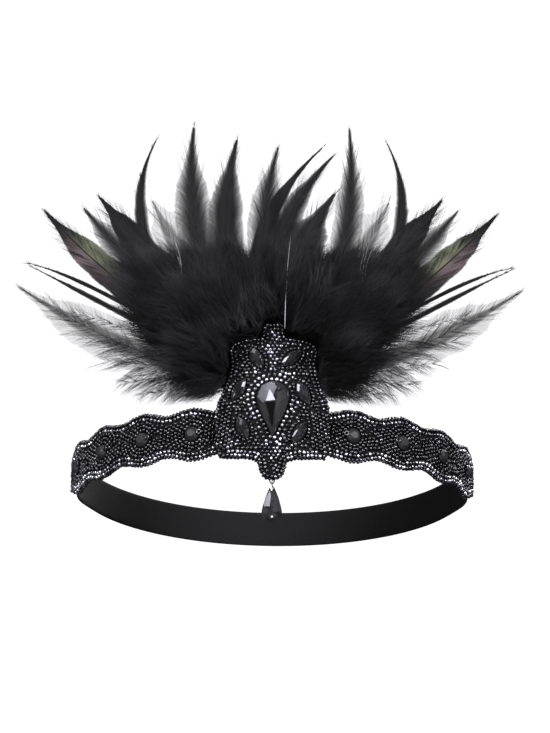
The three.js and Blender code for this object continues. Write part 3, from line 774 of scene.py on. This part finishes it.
def pear_distance(across, up):
    """How far outside the pear's two arcs and straight sides a place lies."""
    big, small = PEAR_WIDTH / 2, PEAR_TIP_RADIUS
    top = PEAR_MIDDLE + PEAR_LENGTH / 2 - big
    drop = PEAR_LENGTH - big - small
    x, y = np.abs(across), top - up
    b = (big - small) / drop
    a = math.sqrt(1 - b * b)
    k = -b * x + a * y
    return np.where(k < 0, np.hypot(x, y) - big,
                    np.where(k > a * drop, np.hypot(x, y - drop) - small, a * x + b * y - big))


def navette_places():
    return [(a * MOTIF_HALF_WIDTH, u * MOTIF_RISE, math.radians(lean)) for _, a, u, lean in NAVETTES]


def navette_line(centre_across, centre_up, lean, grow):
    """A marquise outline grown outwards: the sine squared across, the cosine along."""
    turn = np.linspace(0, 2 * math.pi, 60)
    x = np.sin(turn) * np.abs(np.sin(turn)) * (NAVETTE_WIDTH / 2 + grow)
    z = np.cos(turn) * (NAVETTE_LENGTH / 2 + grow)
    return np.column_stack([centre_across + x * math.cos(lean) + z * math.sin(lean),
                            centre_up - x * math.sin(lean) + z * math.cos(lean)])


def motif_edge(inset):
    """The plaque's outline moved inwards, without the stretches that cross in narrow places."""
    up = np.linspace(-MOTIF_FALL, MOTIF_RISE, 500)
    right = np.column_stack([motif_half_width(up), up])
    outline = np.concatenate([right, right[::-1] * [-1, 1], right[:1]])
    fine = even_steps(outline, 0.3)
    inward = np.column_stack([-np.sin(fine[:, 2]), np.cos(fine[:, 2])])
    moved = fine[:, :2] + inward * inset
    gap = np.min(np.hypot(*(moved[:, None] - fine[None, :, :2]).transpose(2, 0, 1)), 1)
    return moved[gap > inset - 0.12]


def motif_beads():
    """The plaque's beads: two bright halos round the pear, rings round navettes, edge rows and filling."""
    navettes = navette_places()

    def allowed(across, up):
        clear = pear_distance(across, up) > 0.9
        for x0, z0, lean in navettes:
            x = (across - x0) * math.cos(lean) - (up - z0) * math.sin(lean)
            z = (across - x0) * math.sin(lean) + (up - z0) * math.cos(lean)
            clear &= np.abs(x) > (NAVETTE_WIDTH / 2 + 0.7) * (1 - (z / (NAVETTE_LENGTH / 2 + 0.6)) ** 2)
        inside = (np.abs(across) < motif_half_width(up) - 0.2) & (up > -MOTIF_FALL) & (up < MOTIF_RISE)
        return clear & inside

    work = Beadwork(allowed)
    rim = Beadwork(lambda across, up: np.full(len(up), True))
    work.lay(even_steps(pear_line(1.2), 2.0), 1, 0.84, 1.6)
    work.lay(even_steps(pear_line(3.2), 2.1), 1, 0.82, 1.6)
    for navette in navettes:
        work.lay(even_steps(navette_line(*navette, 1.1), 1.5), 0, 0.73, 1.3)

    def upper(line):
        return line[(line[:, 1] > MERGE_LEVEL) | (np.abs(line[:, 0]) < 18) | (line[:, 1] < -9.8)]

    rim.lay(upper(even_steps(motif_edge(0.15), 1.5)), 0, 0.68, 1.2, 1.2)
    under = Beadwork(lambda across, up: (up < -8) & (np.abs(across) < 21.5))
    under.lay(even_steps(motif_edge(0.05), 1.45, 0.8), 0, 0.68, 1.2, 2.5)
    for inset, pitch in ((0.6, 1.6), (2.2, 1.65)):
        row = upper(even_steps(motif_edge(inset), pitch))
        foot = (row[:, 1] < -7) & (np.abs(row[:, 0]) > 5.5)
        work.lay(row[foot], 1, 0.78, 1.42)
        work.lay(row[~foot], 0, 0.76, 1.35)
    low, high = (-MOTIF_HALF_WIDTH, -MOTIF_FALL), (MOTIF_HALF_WIDTH, MOTIF_RISE)
    for side in (-1, 1):
        fill = hex_places(low, high, 1.62, side * BAND_SLANT)
        beside = (fill[:, 1] < MERGE_LEVEL) & (side * fill[:, 0] > 15)
        work.lay(fill[beside], 0, 0.77, 1.4)
    for pitch, gap in ((1.65, 1.4), (0.6, 1.42)):
        fill = hex_places(low, high, pitch, MOTIF_SLANT)
        over_pear = (np.abs(fill[:, 1] - 22.5) < 2.6) & (np.abs(fill[:, 0]) < 11)
        centre = (np.abs(fill[:, 0]) < 3.6) & (fill[:, 1] > -13)
        middle = centre | (pear_distance(*fill.T[:2]) < 4.4) | over_pear
        work.lay(fill[middle], 1, 0.76, gap)
        work.lay(fill[~middle], 0, 0.77, gap)
    return np.vstack([work.rows, rim.rows, under.rows])


def make_beads(name, places, face, lift, dim, rng):
    """Sets seed and cut beads of a bead table on a wall, as two joined meshes."""
    for cut, label, finish, profile in [(0, "seed_beads", SEEDS, SEED_PROFILE),
                                        (1, "cut_beads", CRYSTALS, CUT_PROFILE)]:
        rows = places[places[:, 3] == cut]
        count = len(rows)
        along, up, heading, _, radius, sink = rows.T
        along = along + rng.normal(0, 0.1, count)
        up = up + rng.normal(0, 0.1, count) + lift(along)
        radius = radius * rng.normal(1, 0.07, count).clip(0.85, 1.15)
        heading = heading + rng.normal(0, 0.12 + 0.5 * cut, count)
        sunk = sink + 0.6 * np.clip((np.abs(along) - 95) / 20, 0, 1)
        centre, hole, outward = seat_bead_frames(along, up, face + radius * 0.85 - sunk, heading)
        spin = rng.uniform(0, math.pi, count)
        rings = bead_rings(centre, hole, outward, radius, profile, BEAD_SIDES, spin)
        tone = rng.beta(0.55, 0.95, count) if cut else rng.beta(1.3, 2.0, count) * dim
        new_piece(f"{name}_{label}", *rings_mesh(rings), finish, "stone",
                  tone=np.repeat(tone, len(profile) * BEAD_SIDES))


def make_stop_beads():
    """A seed bead seen along its hole beside each round stone, on the side towards the motif."""
    side = np.repeat([-1.0, 1.0], LOBES_A_SIDE)
    along = side * (FIRST_LOBE + LOBE_PITCH * np.tile(np.arange(LOBES_A_SIDE), 2) - 3.4)
    _, tangent, outward = loop_frame(along)
    centre = wrap(along, dip_at(along) + 0.4, BAND_WALL + 2.2)
    count = len(along)
    radius = np.full(count, STOP_BEAD_RADIUS)
    rings = bead_rings(centre, outward, tangent, radius, RING_PROFILE, 12, np.zeros(count))
    at = np.arange(rings.size // 3).reshape(rings.shape[:3])
    quads = side_quads(np.concatenate([at, at[:, :1]], 1))
    new_piece("stop_beads", rings.reshape(-1, 3), [quads], SEEDS, "stone", tone=np.full(at.size, 0.35))


def make_elastic():
    """The strap: a rounded flat section carried along the loop behind, lapped inside the band's ends."""
    start = BAND_HALF_LENGTH - ELASTIC_LAP
    along = np.linspace(start, LOOP_LENGTH - start, 420)[:, None]
    turn = circle(28)
    up = ELASTIC_WIDTH / 2 * blunt(np.sin(turn), 0.3)
    out = -SEAT_GAP - ELASTIC_WALL / 2 + ELASTIC_WALL / 2 * blunt(np.cos(turn), 0.5)
    points, faces = rings_mesh(wrap(along, dip_at(along) + up, out)[None])
    uv = np.stack(np.broadcast_arrays(along, up), -1).reshape(-1, 2)
    strap = new_piece("elastic_weave", points, faces, ELASTIC, "elastic", uv=uv)
    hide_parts("elastic_strap")


def make_patch():
    """The felt patch inside the band that the quills are sewn to: a slab with rounded corners."""
    turn = circle(48)
    across = PATCH_HALF_WIDTH * blunt(np.cos(turn), 0.35)
    up = (PATCH_TOP - PATCH_FOOT) / 2 * blunt(np.sin(turn), 0.35)
    # Rings from the front face's middle over the edge to the back's: depth and size, as shares.
    depth, size = np.array([(0, 0.01), (0, 0.5), (0, 0.97), (0.12, 1), (0.88, 1), (1, 0.97), (1, 0.5),
                            (1, 0.01)]).T[..., None]
    rings = wrap(across * size, (PATCH_TOP + PATCH_FOOT) / 2 + up * size, -SEAT_GAP - depth * PATCH_WALL)
    new_piece("backing_patch", *rings_mesh(rings[None, :, ::-1]), FELT, "felt")


class Spine:
    """A quill's middle line: a quadratic curve from root by bend to tip, laid on the parting surface."""

    def __init__(self, root, bend, tip, behind, back=HACKLE_BACK):
        t = np.linspace(0, 1, 160)[:, None]
        x, z = quadratic(np.array(root), np.array(bend), np.array(tip), t).T
        y = parting(x, z) + back + behind * np.minimum(2 * t[:, 0], 1)
        self.points = np.stack([x, y, z], -1)
        self.length = np.linalg.norm(np.diff(self.points, axis=0), axis=1).sum()
        self.tangent = unit(np.gradient(self.points, axis=0))
        self.front = unit(np.array([0.0, -1, 0]) + self.tangent * self.tangent[:, 1:2])
        self.side = np.cross(self.front, self.tangent)
        self.share = t[:, 0]

    def at(self, share):
        """Point, tangent, side and front at shares of the length."""
        parts = (self.points, self.tangent, self.side, self.front)
        return [np.stack([np.interp(share, self.share, p[:, i]) for i in range(3)], -1) for p in parts]


def blade_width(share):
    return np.interp(share, *np.array(BLADE).T)


def barb_lines(spine, share, side, length, angle, sweep, lift, waver, pull):
    """Barbs leave the quill at an angle and sweep towards its tip by the square of the way out.

    pull draws a barb's tip along the quill, by the same square."""
    point, tangent, across, front = spine.at(share)
    q = np.linspace(0, 1, 4)[None, :, None]
    out, ahead, sweep, lift, pull = (v[:, None, None] for v in (
        length * np.sin(angle) * side, length * np.cos(angle), sweep, lift, pull))
    lines = point[:, None] + across[:, None] * out * q
    lines = lines + tangent[:, None] * (ahead * (q + sweep * q ** 2) + pull * q ** 2)
    return lines + front[:, None] * lift * q ** 2 + waver[:, None] * q ** 1.5


def clumps(rng, count, groups, low, high):
    """Shares of a quill in clumps: the share, the clump's number and the place off its middle."""
    group = rng.integers(0, groups, count)
    middle = group + 0.5 + rng.uniform(-0.3, 0.3, groups)[group]
    off = rng.normal(0, 0.3, count)
    return np.clip(low + (high - low) * (middle + off) / groups, low, high), group, off


class Bundle:
    """Collects strands of one kind before they become one mesh."""

    def __init__(self):
        self.lines, self.radii, self.tones = [], [], []

    def add(self, lines, radius, tone):
        taper = np.linspace(1, 0.25, lines.shape[1])
        self.lines.append(lines)
        self.radii.append(radius[:, None] * taper)
        self.tones.append(tone)

    def make(self, name, finish, slot):
        lines, radii = np.concatenate(self.lines), np.concatenate(self.radii)
        points, faces = strands(lines, radii)
        tones = np.repeat(np.concatenate(self.tones), (lines.shape[1] - 1) * 3 + 1)
        new_piece(name, points, faces, finish, slot, tone=tones)


def hackle_spine(row, side=1):
    root = np.clip(2 * row.tip_x / FAN_HALF_SPAN * side, -ROOT_SHARE, ROOT_SHARE) * PATCH_HALF_WIDTH
    return Spine((root, ROOT_SHARE * PATCH_TOP), (row.bend_x * side + PLUME_SHIFT, row.bend_z),
                 (row.tip_x * side + PLUME_SHIFT, row.tip_z), row.layer * HACKLE_LAYER)


def hackle_barbs(bundle, spine, row, inner, rng):
    """Barbs of one hackle: fine ones over the vane, longer and freer where the vane is thin."""
    loose = 0 < row.core and row.veil < 0.3
    density = 3.0 if loose else 1.0 if row.core < 0.1 else 1.2 + 4.0 * row.veil
    count = int(spine.length * density)
    groups = int(spine.length / (3.6 if loose else 2.6))
    share, group, off = clumps(rng, count, groups, 0.15, 0.985)
    upper = rng.integers(0, 2, count)
    side = 2.0 * upper - 1
    swing, grown = rng.normal(0, 1, (2, 2, groups))
    angle = np.radians(34 + 8 * loose - 20 * share) + swing[upper, group] * (0.09 if loose else 0.05)
    angle = (angle + rng.normal(0, 0.04, count)).clip(0.16)
    reach = row.width / 2 * blade_width(share) * (1 + row.skew * side * inner)
    grow = 1 + grown[upper, group] * (0.14 if loose else 0.08) + rng.normal(0, 0.06, count)
    reach = np.maximum(reach * grow.clip(0.5, 1.35), 0.3 + 0.4 * rng.uniform(size=count))
    lines = barb_lines(spine, share, side, np.minimum(reach / np.sin(angle), 17.0), angle,
                       rng.uniform(0.05, 0.3, count), rng.normal(0.4, 0.5, count),
                       rng.normal(0, 0.3, (count, 3)), -0.9 * off * spine.length / groups)
    thick = rng.uniform(0.04, 0.07, count) if loose else rng.uniform(0.045, 0.085, count)
    bundle.add(lines, thick, rng.uniform(size=count))


def web_rings(spine, row, inner, rng):
    """A hackle's vane: a thin lens across the quill, its edges ragged, narrowing to the tip."""
    point, tangent, across, front = spine.at(WEB_SHARES)
    off = np.cos(circle(WEB_SIDES))[None]
    ragged = 1 + 0.03 * np.sin(WEB_SHARES * 47 + rng.uniform(0, 6)) + rng.normal(0, 0.015, WEB_SHARES.size)
    half = row.width / 2 * (blade_width(WEB_SHARES) * ragged)[:, None]
    x = off * half * (1 + row.skew * np.sign(off) * inner)
    y = np.sin(circle(WEB_SIDES))[None] * 0.14 + 0.06 * x ** 2 / row.width
    slant = 0.75 * np.abs(x)
    rings = point[:, None] + across[:, None] * x[..., None] + front[:, None] * y[..., None]
    rings = rings + tangent[:, None] * slant[..., None]
    uv = np.stack([x, WEB_SHARES[:, None] * spine.length + slant], -1)
    return rings, uv.reshape(-1, 2), np.abs(np.broadcast_to(off, x.shape)).ravel()


def quill_line(spine, share):
    point, _, _, front = spine.at(share)
    return (point + front * 0.2)[None]


def make_hackles(rng):
    """The long feathers: quills, vanes and three sets of barbs, in the places of the fan's blades."""
    feathers = [(hackle_spine(row, side), row, side) for row in SIDE_HACKLES for side in (-1, 1)]
    feathers += [(hackle_spine(row), row, 0) for row in MIDDLE_HACKLES]
    bundles = {-1: Bundle(), 0: Bundle(), 1: Bundle()}
    quills = Bundle()
    rings, uvs, edges, features = [], [], [], []
    # How strong the painted sheen is at each ring of every vane.
    lit = np.repeat(np.exp(-((WEB_SHARES - SHEEN_MIDDLE) / SHEEN_REACH) ** 2), WEB_SIDES)
    for spine, row, side in feathers:
        hackle_barbs(bundles[side], spine, row, side, rng)
        ring, uv, edge = web_rings(spine, row, side, rng)
        rings.append(ring)
        uvs.append(uv * [1 if side >= 0 else -1, 1])
        edges.append(edge)
        features.append(np.stack([0 * lit + row.core, 0 * lit + row.veil, row.sheen * lit]))
        if row.core > 0:
            quills.add(quill_line(spine, np.linspace(0, 1, 26)), np.array([0.26]), np.array([0.3]))
    for side, label in ((-1, "left"), (0, "middle"), (1, "right")):
        bundles[side].make(f"hackle_barbs_{label}", BARBS, "hackle")
    core, veil, sheen = np.concatenate(features, 1)
    webs = new_piece("hackle_webs", *rings_mesh(np.stack(rings)), WEB, "hackle", uv=np.concatenate(uvs),
                     edge=np.concatenate(edges), core=core, veil=veil, sheen=sheen)
    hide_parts("hackle_fan")
    quills.make("hackle_quills", QUILL, "hackle")


def node_triangles(name):
    """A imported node's triangles, in leaning-frame millimetres, as (triangles, 3, 3)."""
    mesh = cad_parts[name].data
    mesh.calc_loop_triangles()
    points = np.empty(len(mesh.vertices) * 3)
    mesh.vertices.foreach_get("co", points)
    index = np.empty(len(mesh.loop_triangles) * 3, np.int32)
    mesh.loop_triangles.foreach_get("vertices", index)
    return turned(points.reshape(-1, 3) / MM, -LEAN)[index].reshape(-1, 3, 3)


def clear_of_beadwork(lines):
    """True for hairs that pass neither in front of the plaque nor below the band's upper edge."""
    x, y, z = np.moveaxis(lines, -1, 0)
    on_plaque = (np.abs(x) < motif_half_width(z) + 1.2) & (z < MOTIF_RISE + 1.5) & (y < -LOOP_FRONT - 1.5)
    on_band = (z < band_half_height(x) + 0.6) & (np.abs(x) < 100)
    return ~(on_plaque | on_band).any(1)


def make_heart():
    """The mound's dark heart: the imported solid's surface, welded, drawn in and smoothed."""
    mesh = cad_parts["marabou_fluff"].data.copy()
    mesh.polygons.foreach_set("use_smooth", np.full(len(mesh.polygons), True))
    mesh.materials.clear()
    mesh.materials.append(FLUFF)
    heart = add_object("marabou_heart", mesh)
    heart.modifiers.new("weld", "WELD").merge_threshold = 0.00005
    inset = heart.modifiers.new("inset", "DISPLACE")
    inset.strength, inset.mid_level = -0.0028, 0.0
    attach(heart, "headband")
    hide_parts("marabou_fluff")


def make_coats(rng):
    """Hair that flows over the mound from the plume's foot: straight way plus a curl by the square.

    Hairs of one lock share a turn and a painted shine, a paler tone that stands in for highlight, and draw
    together towards the lock's middle."""
    corners = node_triangles("marabou_fluff")
    normal = np.cross(corners[:, 1] - corners[:, 0], corners[:, 2] - corners[:, 0])
    area = np.linalg.norm(normal, axis=1)
    foot = np.array([PLUME_SHIFT, -LOOP_FRONT, MOUND_FOOT])
    q = np.linspace(0, 1, 4)[None, :, None]
    middles = corners.mean(1)[rng.choice(len(corners), LOCKS, p=area / area.sum())]
    lock_turn = rng.normal(0, 0.24, (LOCKS, 3))
    # Painted shine: some locks get a paler tone, standing in for highlights.
    shine = 0.85 * rng.uniform(size=LOCKS) ** 3
    for label, count, lift, length in COATS:
        pick = rng.choice(len(corners), count, p=area / area.sum())
        a, b = rng.uniform(size=(2, count, 1))
        flip = a + b > 1
        a, b = np.where(flip, 1 - a, a), np.where(flip, 1 - b, b)
        first, second, third = corners[pick].transpose(1, 0, 2)
        spot = first + a * (second - first) + b * (third - first)
        flow = unit((spot - foot) * [1, 0.4, 1])
        lock = np.argmin(((spot[:, None] - middles[None]) ** 2).sum(2), axis=1)
        away = middles[lock] + unit(middles[lock] - foot) * 9 - spot
        way = unit(flow + unit(normal[pick]) * lift + lock_turn[lock] + rng.normal(0, 0.13, (count, 3)))
        high = np.clip((spot[:, 2] - 0.8 * MOUND_RISE) / (0.2 * MOUND_RISE), 0, 1)
        long = length * rng.uniform(0.6, 1.25, count) * (1 - 0.35 * high)
        curl = rng.normal(0, 1.5, (count, 1, 3)) + np.array([0, 0, -1.0]) + 0.28 * away[:, None]
        lines = (spot - way * 5.0)[:, None] + way[:, None] * long[:, None, None] * q + curl * q ** 2
        x, y, z = np.moveaxis(lines, 2, 0)
        at_patch = (np.abs(x) < PATCH_HALF_WIDTH + 2) & (z < PATCH_TOP + 3)
        lines[:, :, 1] = np.minimum(y, parting(x, z) + np.where(at_patch, 0.2, 5))
        keep = clear_of_beadwork(lines)
        # Each hair's tone: a random dark spread, plus its lock's painted shine.
        tone = 0.4 * rng.uniform(size=count) ** 3 + shine[lock] * rng.uniform(0.2, 1.0, count)
        bundle = Bundle()
        bundle.add(lines[keep], rng.uniform(0.07, 0.14, keep.sum()), tone[keep])
        bundle.make(f"marabou_hair_{label}", FLUFF, "marabou")


def add_side_wisp(bundle, side, row, rng):
    """A soft side plume: long loose barbs that curl down from a fine quill."""
    tip_x, tip_z, bend_x, bend_z, long = row
    spine = Spine((side * 10, 22), (side * bend_x + PLUME_SHIFT, bend_z),
                  (side * tip_x + PLUME_SHIFT, tip_z), -3.0, back=-2.0)
    count, groups = 170, 13
    share, group, off = clumps(rng, count, groups, 0.3, 1.0)
    upper = rng.integers(0, 2, count)
    swing, grown = rng.normal(0, 1, (2, 2, groups))
    grow = 0.85 + 0.2 * grown[upper, group] + rng.normal(0, 0.08, count)
    length = (long * (1.1 - 0.5 * share) * grow).clip(2)
    angle = np.radians(26 + 7 * swing[upper, group] + rng.normal(0, 3, count)).clip(0.1)
    waver = rng.normal(0, 0.7, (count, 3)) + np.array([0, 0, -1.0])
    lines = barb_lines(spine, share, 2.0 * upper - 1, length, angle, rng.uniform(0, 0.3, count),
                       rng.normal(0, 1.5, count), waver, -0.8 * off * spine.length / 18)
    keep = clear_of_beadwork(lines)
    bundle.add(lines[keep], rng.uniform(0.045, 0.08, keep.sum()), rng.uniform(size=keep.sum()))
    bundle.add(quill_line(spine, np.linspace(0.05, 1, 4)), np.array([0.13]), np.array([0.2]))


def add_hanging_lock(bundle, side, row, rng):
    """Hairs that fan out from about a lock's root to about its tip, denser low on the mound."""
    root_x, root_z, tip_x, tip_z = row
    count = 34 if root_z > 30 else 54
    root = np.array([side * root_x, root_z]) + rng.normal(0, 2.2, (count, 2))
    tip = np.array([side * tip_x, tip_z]) + rng.normal(0, [1.6, 0.7], (count, 2))
    tip = tip + (root - tip) * rng.uniform(0, 0.6, (count, 1)) ** 1.5
    bend = root + (tip - root) * 0.55 + np.array([0, 1.8])
    t = np.linspace(0, 1, 4)[None, :, None]
    x, z = np.moveaxis(quadratic(root[:, None], bend[:, None], tip[:, None], t), 2, 0)
    x = x + PLUME_SHIFT
    lines = np.stack([x, parting(x, z) + rng.normal(-3.5, 1.5, (count, 1)), z], -1)
    bundle.add(lines, rng.uniform(0.05, 0.09, count), rng.uniform(size=count))


def make_wisps(rng):
    """The loose fluff at the mound's sides, and the few bare pale quills."""
    bundle = Bundle()
    for side in (-1, 1):
        for row in SIDE_WISPS:
            add_side_wisp(bundle, side, row, rng)
        for row in HANGING_LOCKS:
            add_hanging_lock(bundle, side, row, rng)
    bundle.make("marabou_wisps", FLUFF, "marabou")
    bare = Bundle()
    t = np.linspace(0, 1, 8)
    for root_x, root_z, tip_x, tip_z, out, thick in PALE_STRANDS:
        x, z = root_x + (tip_x - root_x) * t ** 2, root_z + (tip_z - root_z) * t
        bare.add(np.stack([x, parting(x, z) - out, z], -1)[None], np.array([thick]), np.array([1.0]))
    bare.make("marabou_quill", QUILL, "marabou")


def make_studio():
    """A round pale studio: a flat floor that curves up into a wall, turned about the upright."""
    floor_level, floor_reach, cove, top, sides = -0.34, 2.6, 0.8, 3.2, 96
    bend = np.linspace(-math.pi / 2, 0, 16)
    radius = np.concatenate([[0.001, 0.8, 1.8], floor_reach + cove * np.cos(bend), [floor_reach + cove]])
    height = np.concatenate([[0, 0, 0], cove + cove * np.sin(bend), [top]]) + floor_level
    turn = circle(sides)
    rings = np.stack([radius[:, None] * np.cos(turn), radius[:, None] * np.sin(turn),
                      np.broadcast_to(height[:, None], (len(height), sides))], -1)
    points, (quads,) = rings_mesh(rings[None], close_ends=False)
    shell = add_object("studio_shell", smooth_mesh("studio_shell", points, [quads[:, ::-1]], PAPER))
    shell.visible_glossy = False
    shell.visible_diffuse = False


# Lamps: name, place, what it faces, width and height, in metres, and watts.
PLUME_FOOT = (0, -0.05, 0.05)
LAMPS = [
    ("key", (-0.75, -0.95, 0.95), PLUME_FOOT, (0.42, 0.42), 26),
    ("fill", (1.0, -1.0, 0.6), PLUME_FOOT, (0.4, 0.7), 22),
    ("front", (-0.25, -1.5, 0.35), PLUME_FOOT, (0.3, 0.3), 3),
    ("low", (-0.9, -1.1, -0.1), (0.05, 0.05, 0), (0.5, 0.5), 5),
    ("top", (0.1, 0.1, 1.3), PLUME_FOOT, (1.2, 0.5), 9),
    ("rear", (0.4, 1.2, 0.8), PLUME_FOOT, (0.8, 0.8), 26),
]


def make_lights():
    """The lamps, each turned to what it faces, in a dim grey air."""
    for name, place, aim, size, watts in LAMPS:
        light = bpy.data.lights.new(name, "AREA")
        light.shape = "RECTANGLE"
        light.size, light.size_y = size
        light.energy = watts
        lamp = add_object(name, light)
        lamp.location = place
        x, y, z = np.array(aim) - np.array(place)
        lamp.rotation_euler = (math.atan2(math.hypot(x, y), -z), 0, math.atan2(y, x) - math.pi / 2)
    world = bpy.data.worlds.new("studio_air")
    world.use_nodes = True
    air = world.node_tree.nodes["Background"].inputs
    air["Color"].default_value = (0.5, 0.5, 0.52, 1)
    air["Strength"].default_value = 0.16
    bpy.context.scene.world = world
    bpy.context.scene.view_settings.view_transform = "Standard"


def make_camera():
    """A level lens 1.25 m in front, turned a little about its own line of sight as the photograph is."""
    data = bpy.data.cameras.new("camera")
    data.lens = 141.3
    data.sensor_width = 36.0
    camera = add_object("camera", data)
    camera.location = (0.00065, -1.25, 0.0478)
    camera.rotation_euler = (math.pi / 2, -math.radians(0.65), 0)
    bpy.context.scene.camera = camera


def dress(node, finish):
    """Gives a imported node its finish."""
    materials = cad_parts[node].data.materials
    materials.clear()
    materials.append(finish)


def dress_nodes():
    """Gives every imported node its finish: felt, glass or wire."""
    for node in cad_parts:
        dress(node, BLACK_GLASS if node.startswith("band_stone") else FELT)
    for node in ("drop_ring", "drop_eyelet"):
        dress(node, WIRE)
    dress("pear_stone", stone_finish("pear_glass", (0, PEAR_MIDDLE), 0.02, PEAR_FLASHES))
    low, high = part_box("drop_stone")
    across, _, up = turned((low + high) / 2 / MM, -LEAN)
    dress("drop_stone", stone_finish("drop_glass", (across, up), 0.025, DROP_FLASHES))
    for (name, *_), (across, up, _), flash in zip(NAVETTES, navette_places(), NAVETTE_FLASHES):
        dress(name, stone_finish(f"{name}_glass", (across, up), 0.018, [flash]))


def main():
    make_camera()
    dress_nodes()
    rng = np.random.default_rng(SEED)
    make_beads("band", band_beads(), BAND_WALL, dip_at, 0.75, rng)
    make_beads("motif", motif_beads(), MOTIF_FACE, lambda along: 0 * along, 1.0, rng)
    make_stop_beads()
    make_elastic()
    make_patch()
    make_hackles(rng)
    make_heart()
    make_coats(rng)
    make_wisps(rng)
    make_studio()
    make_lights()


main()
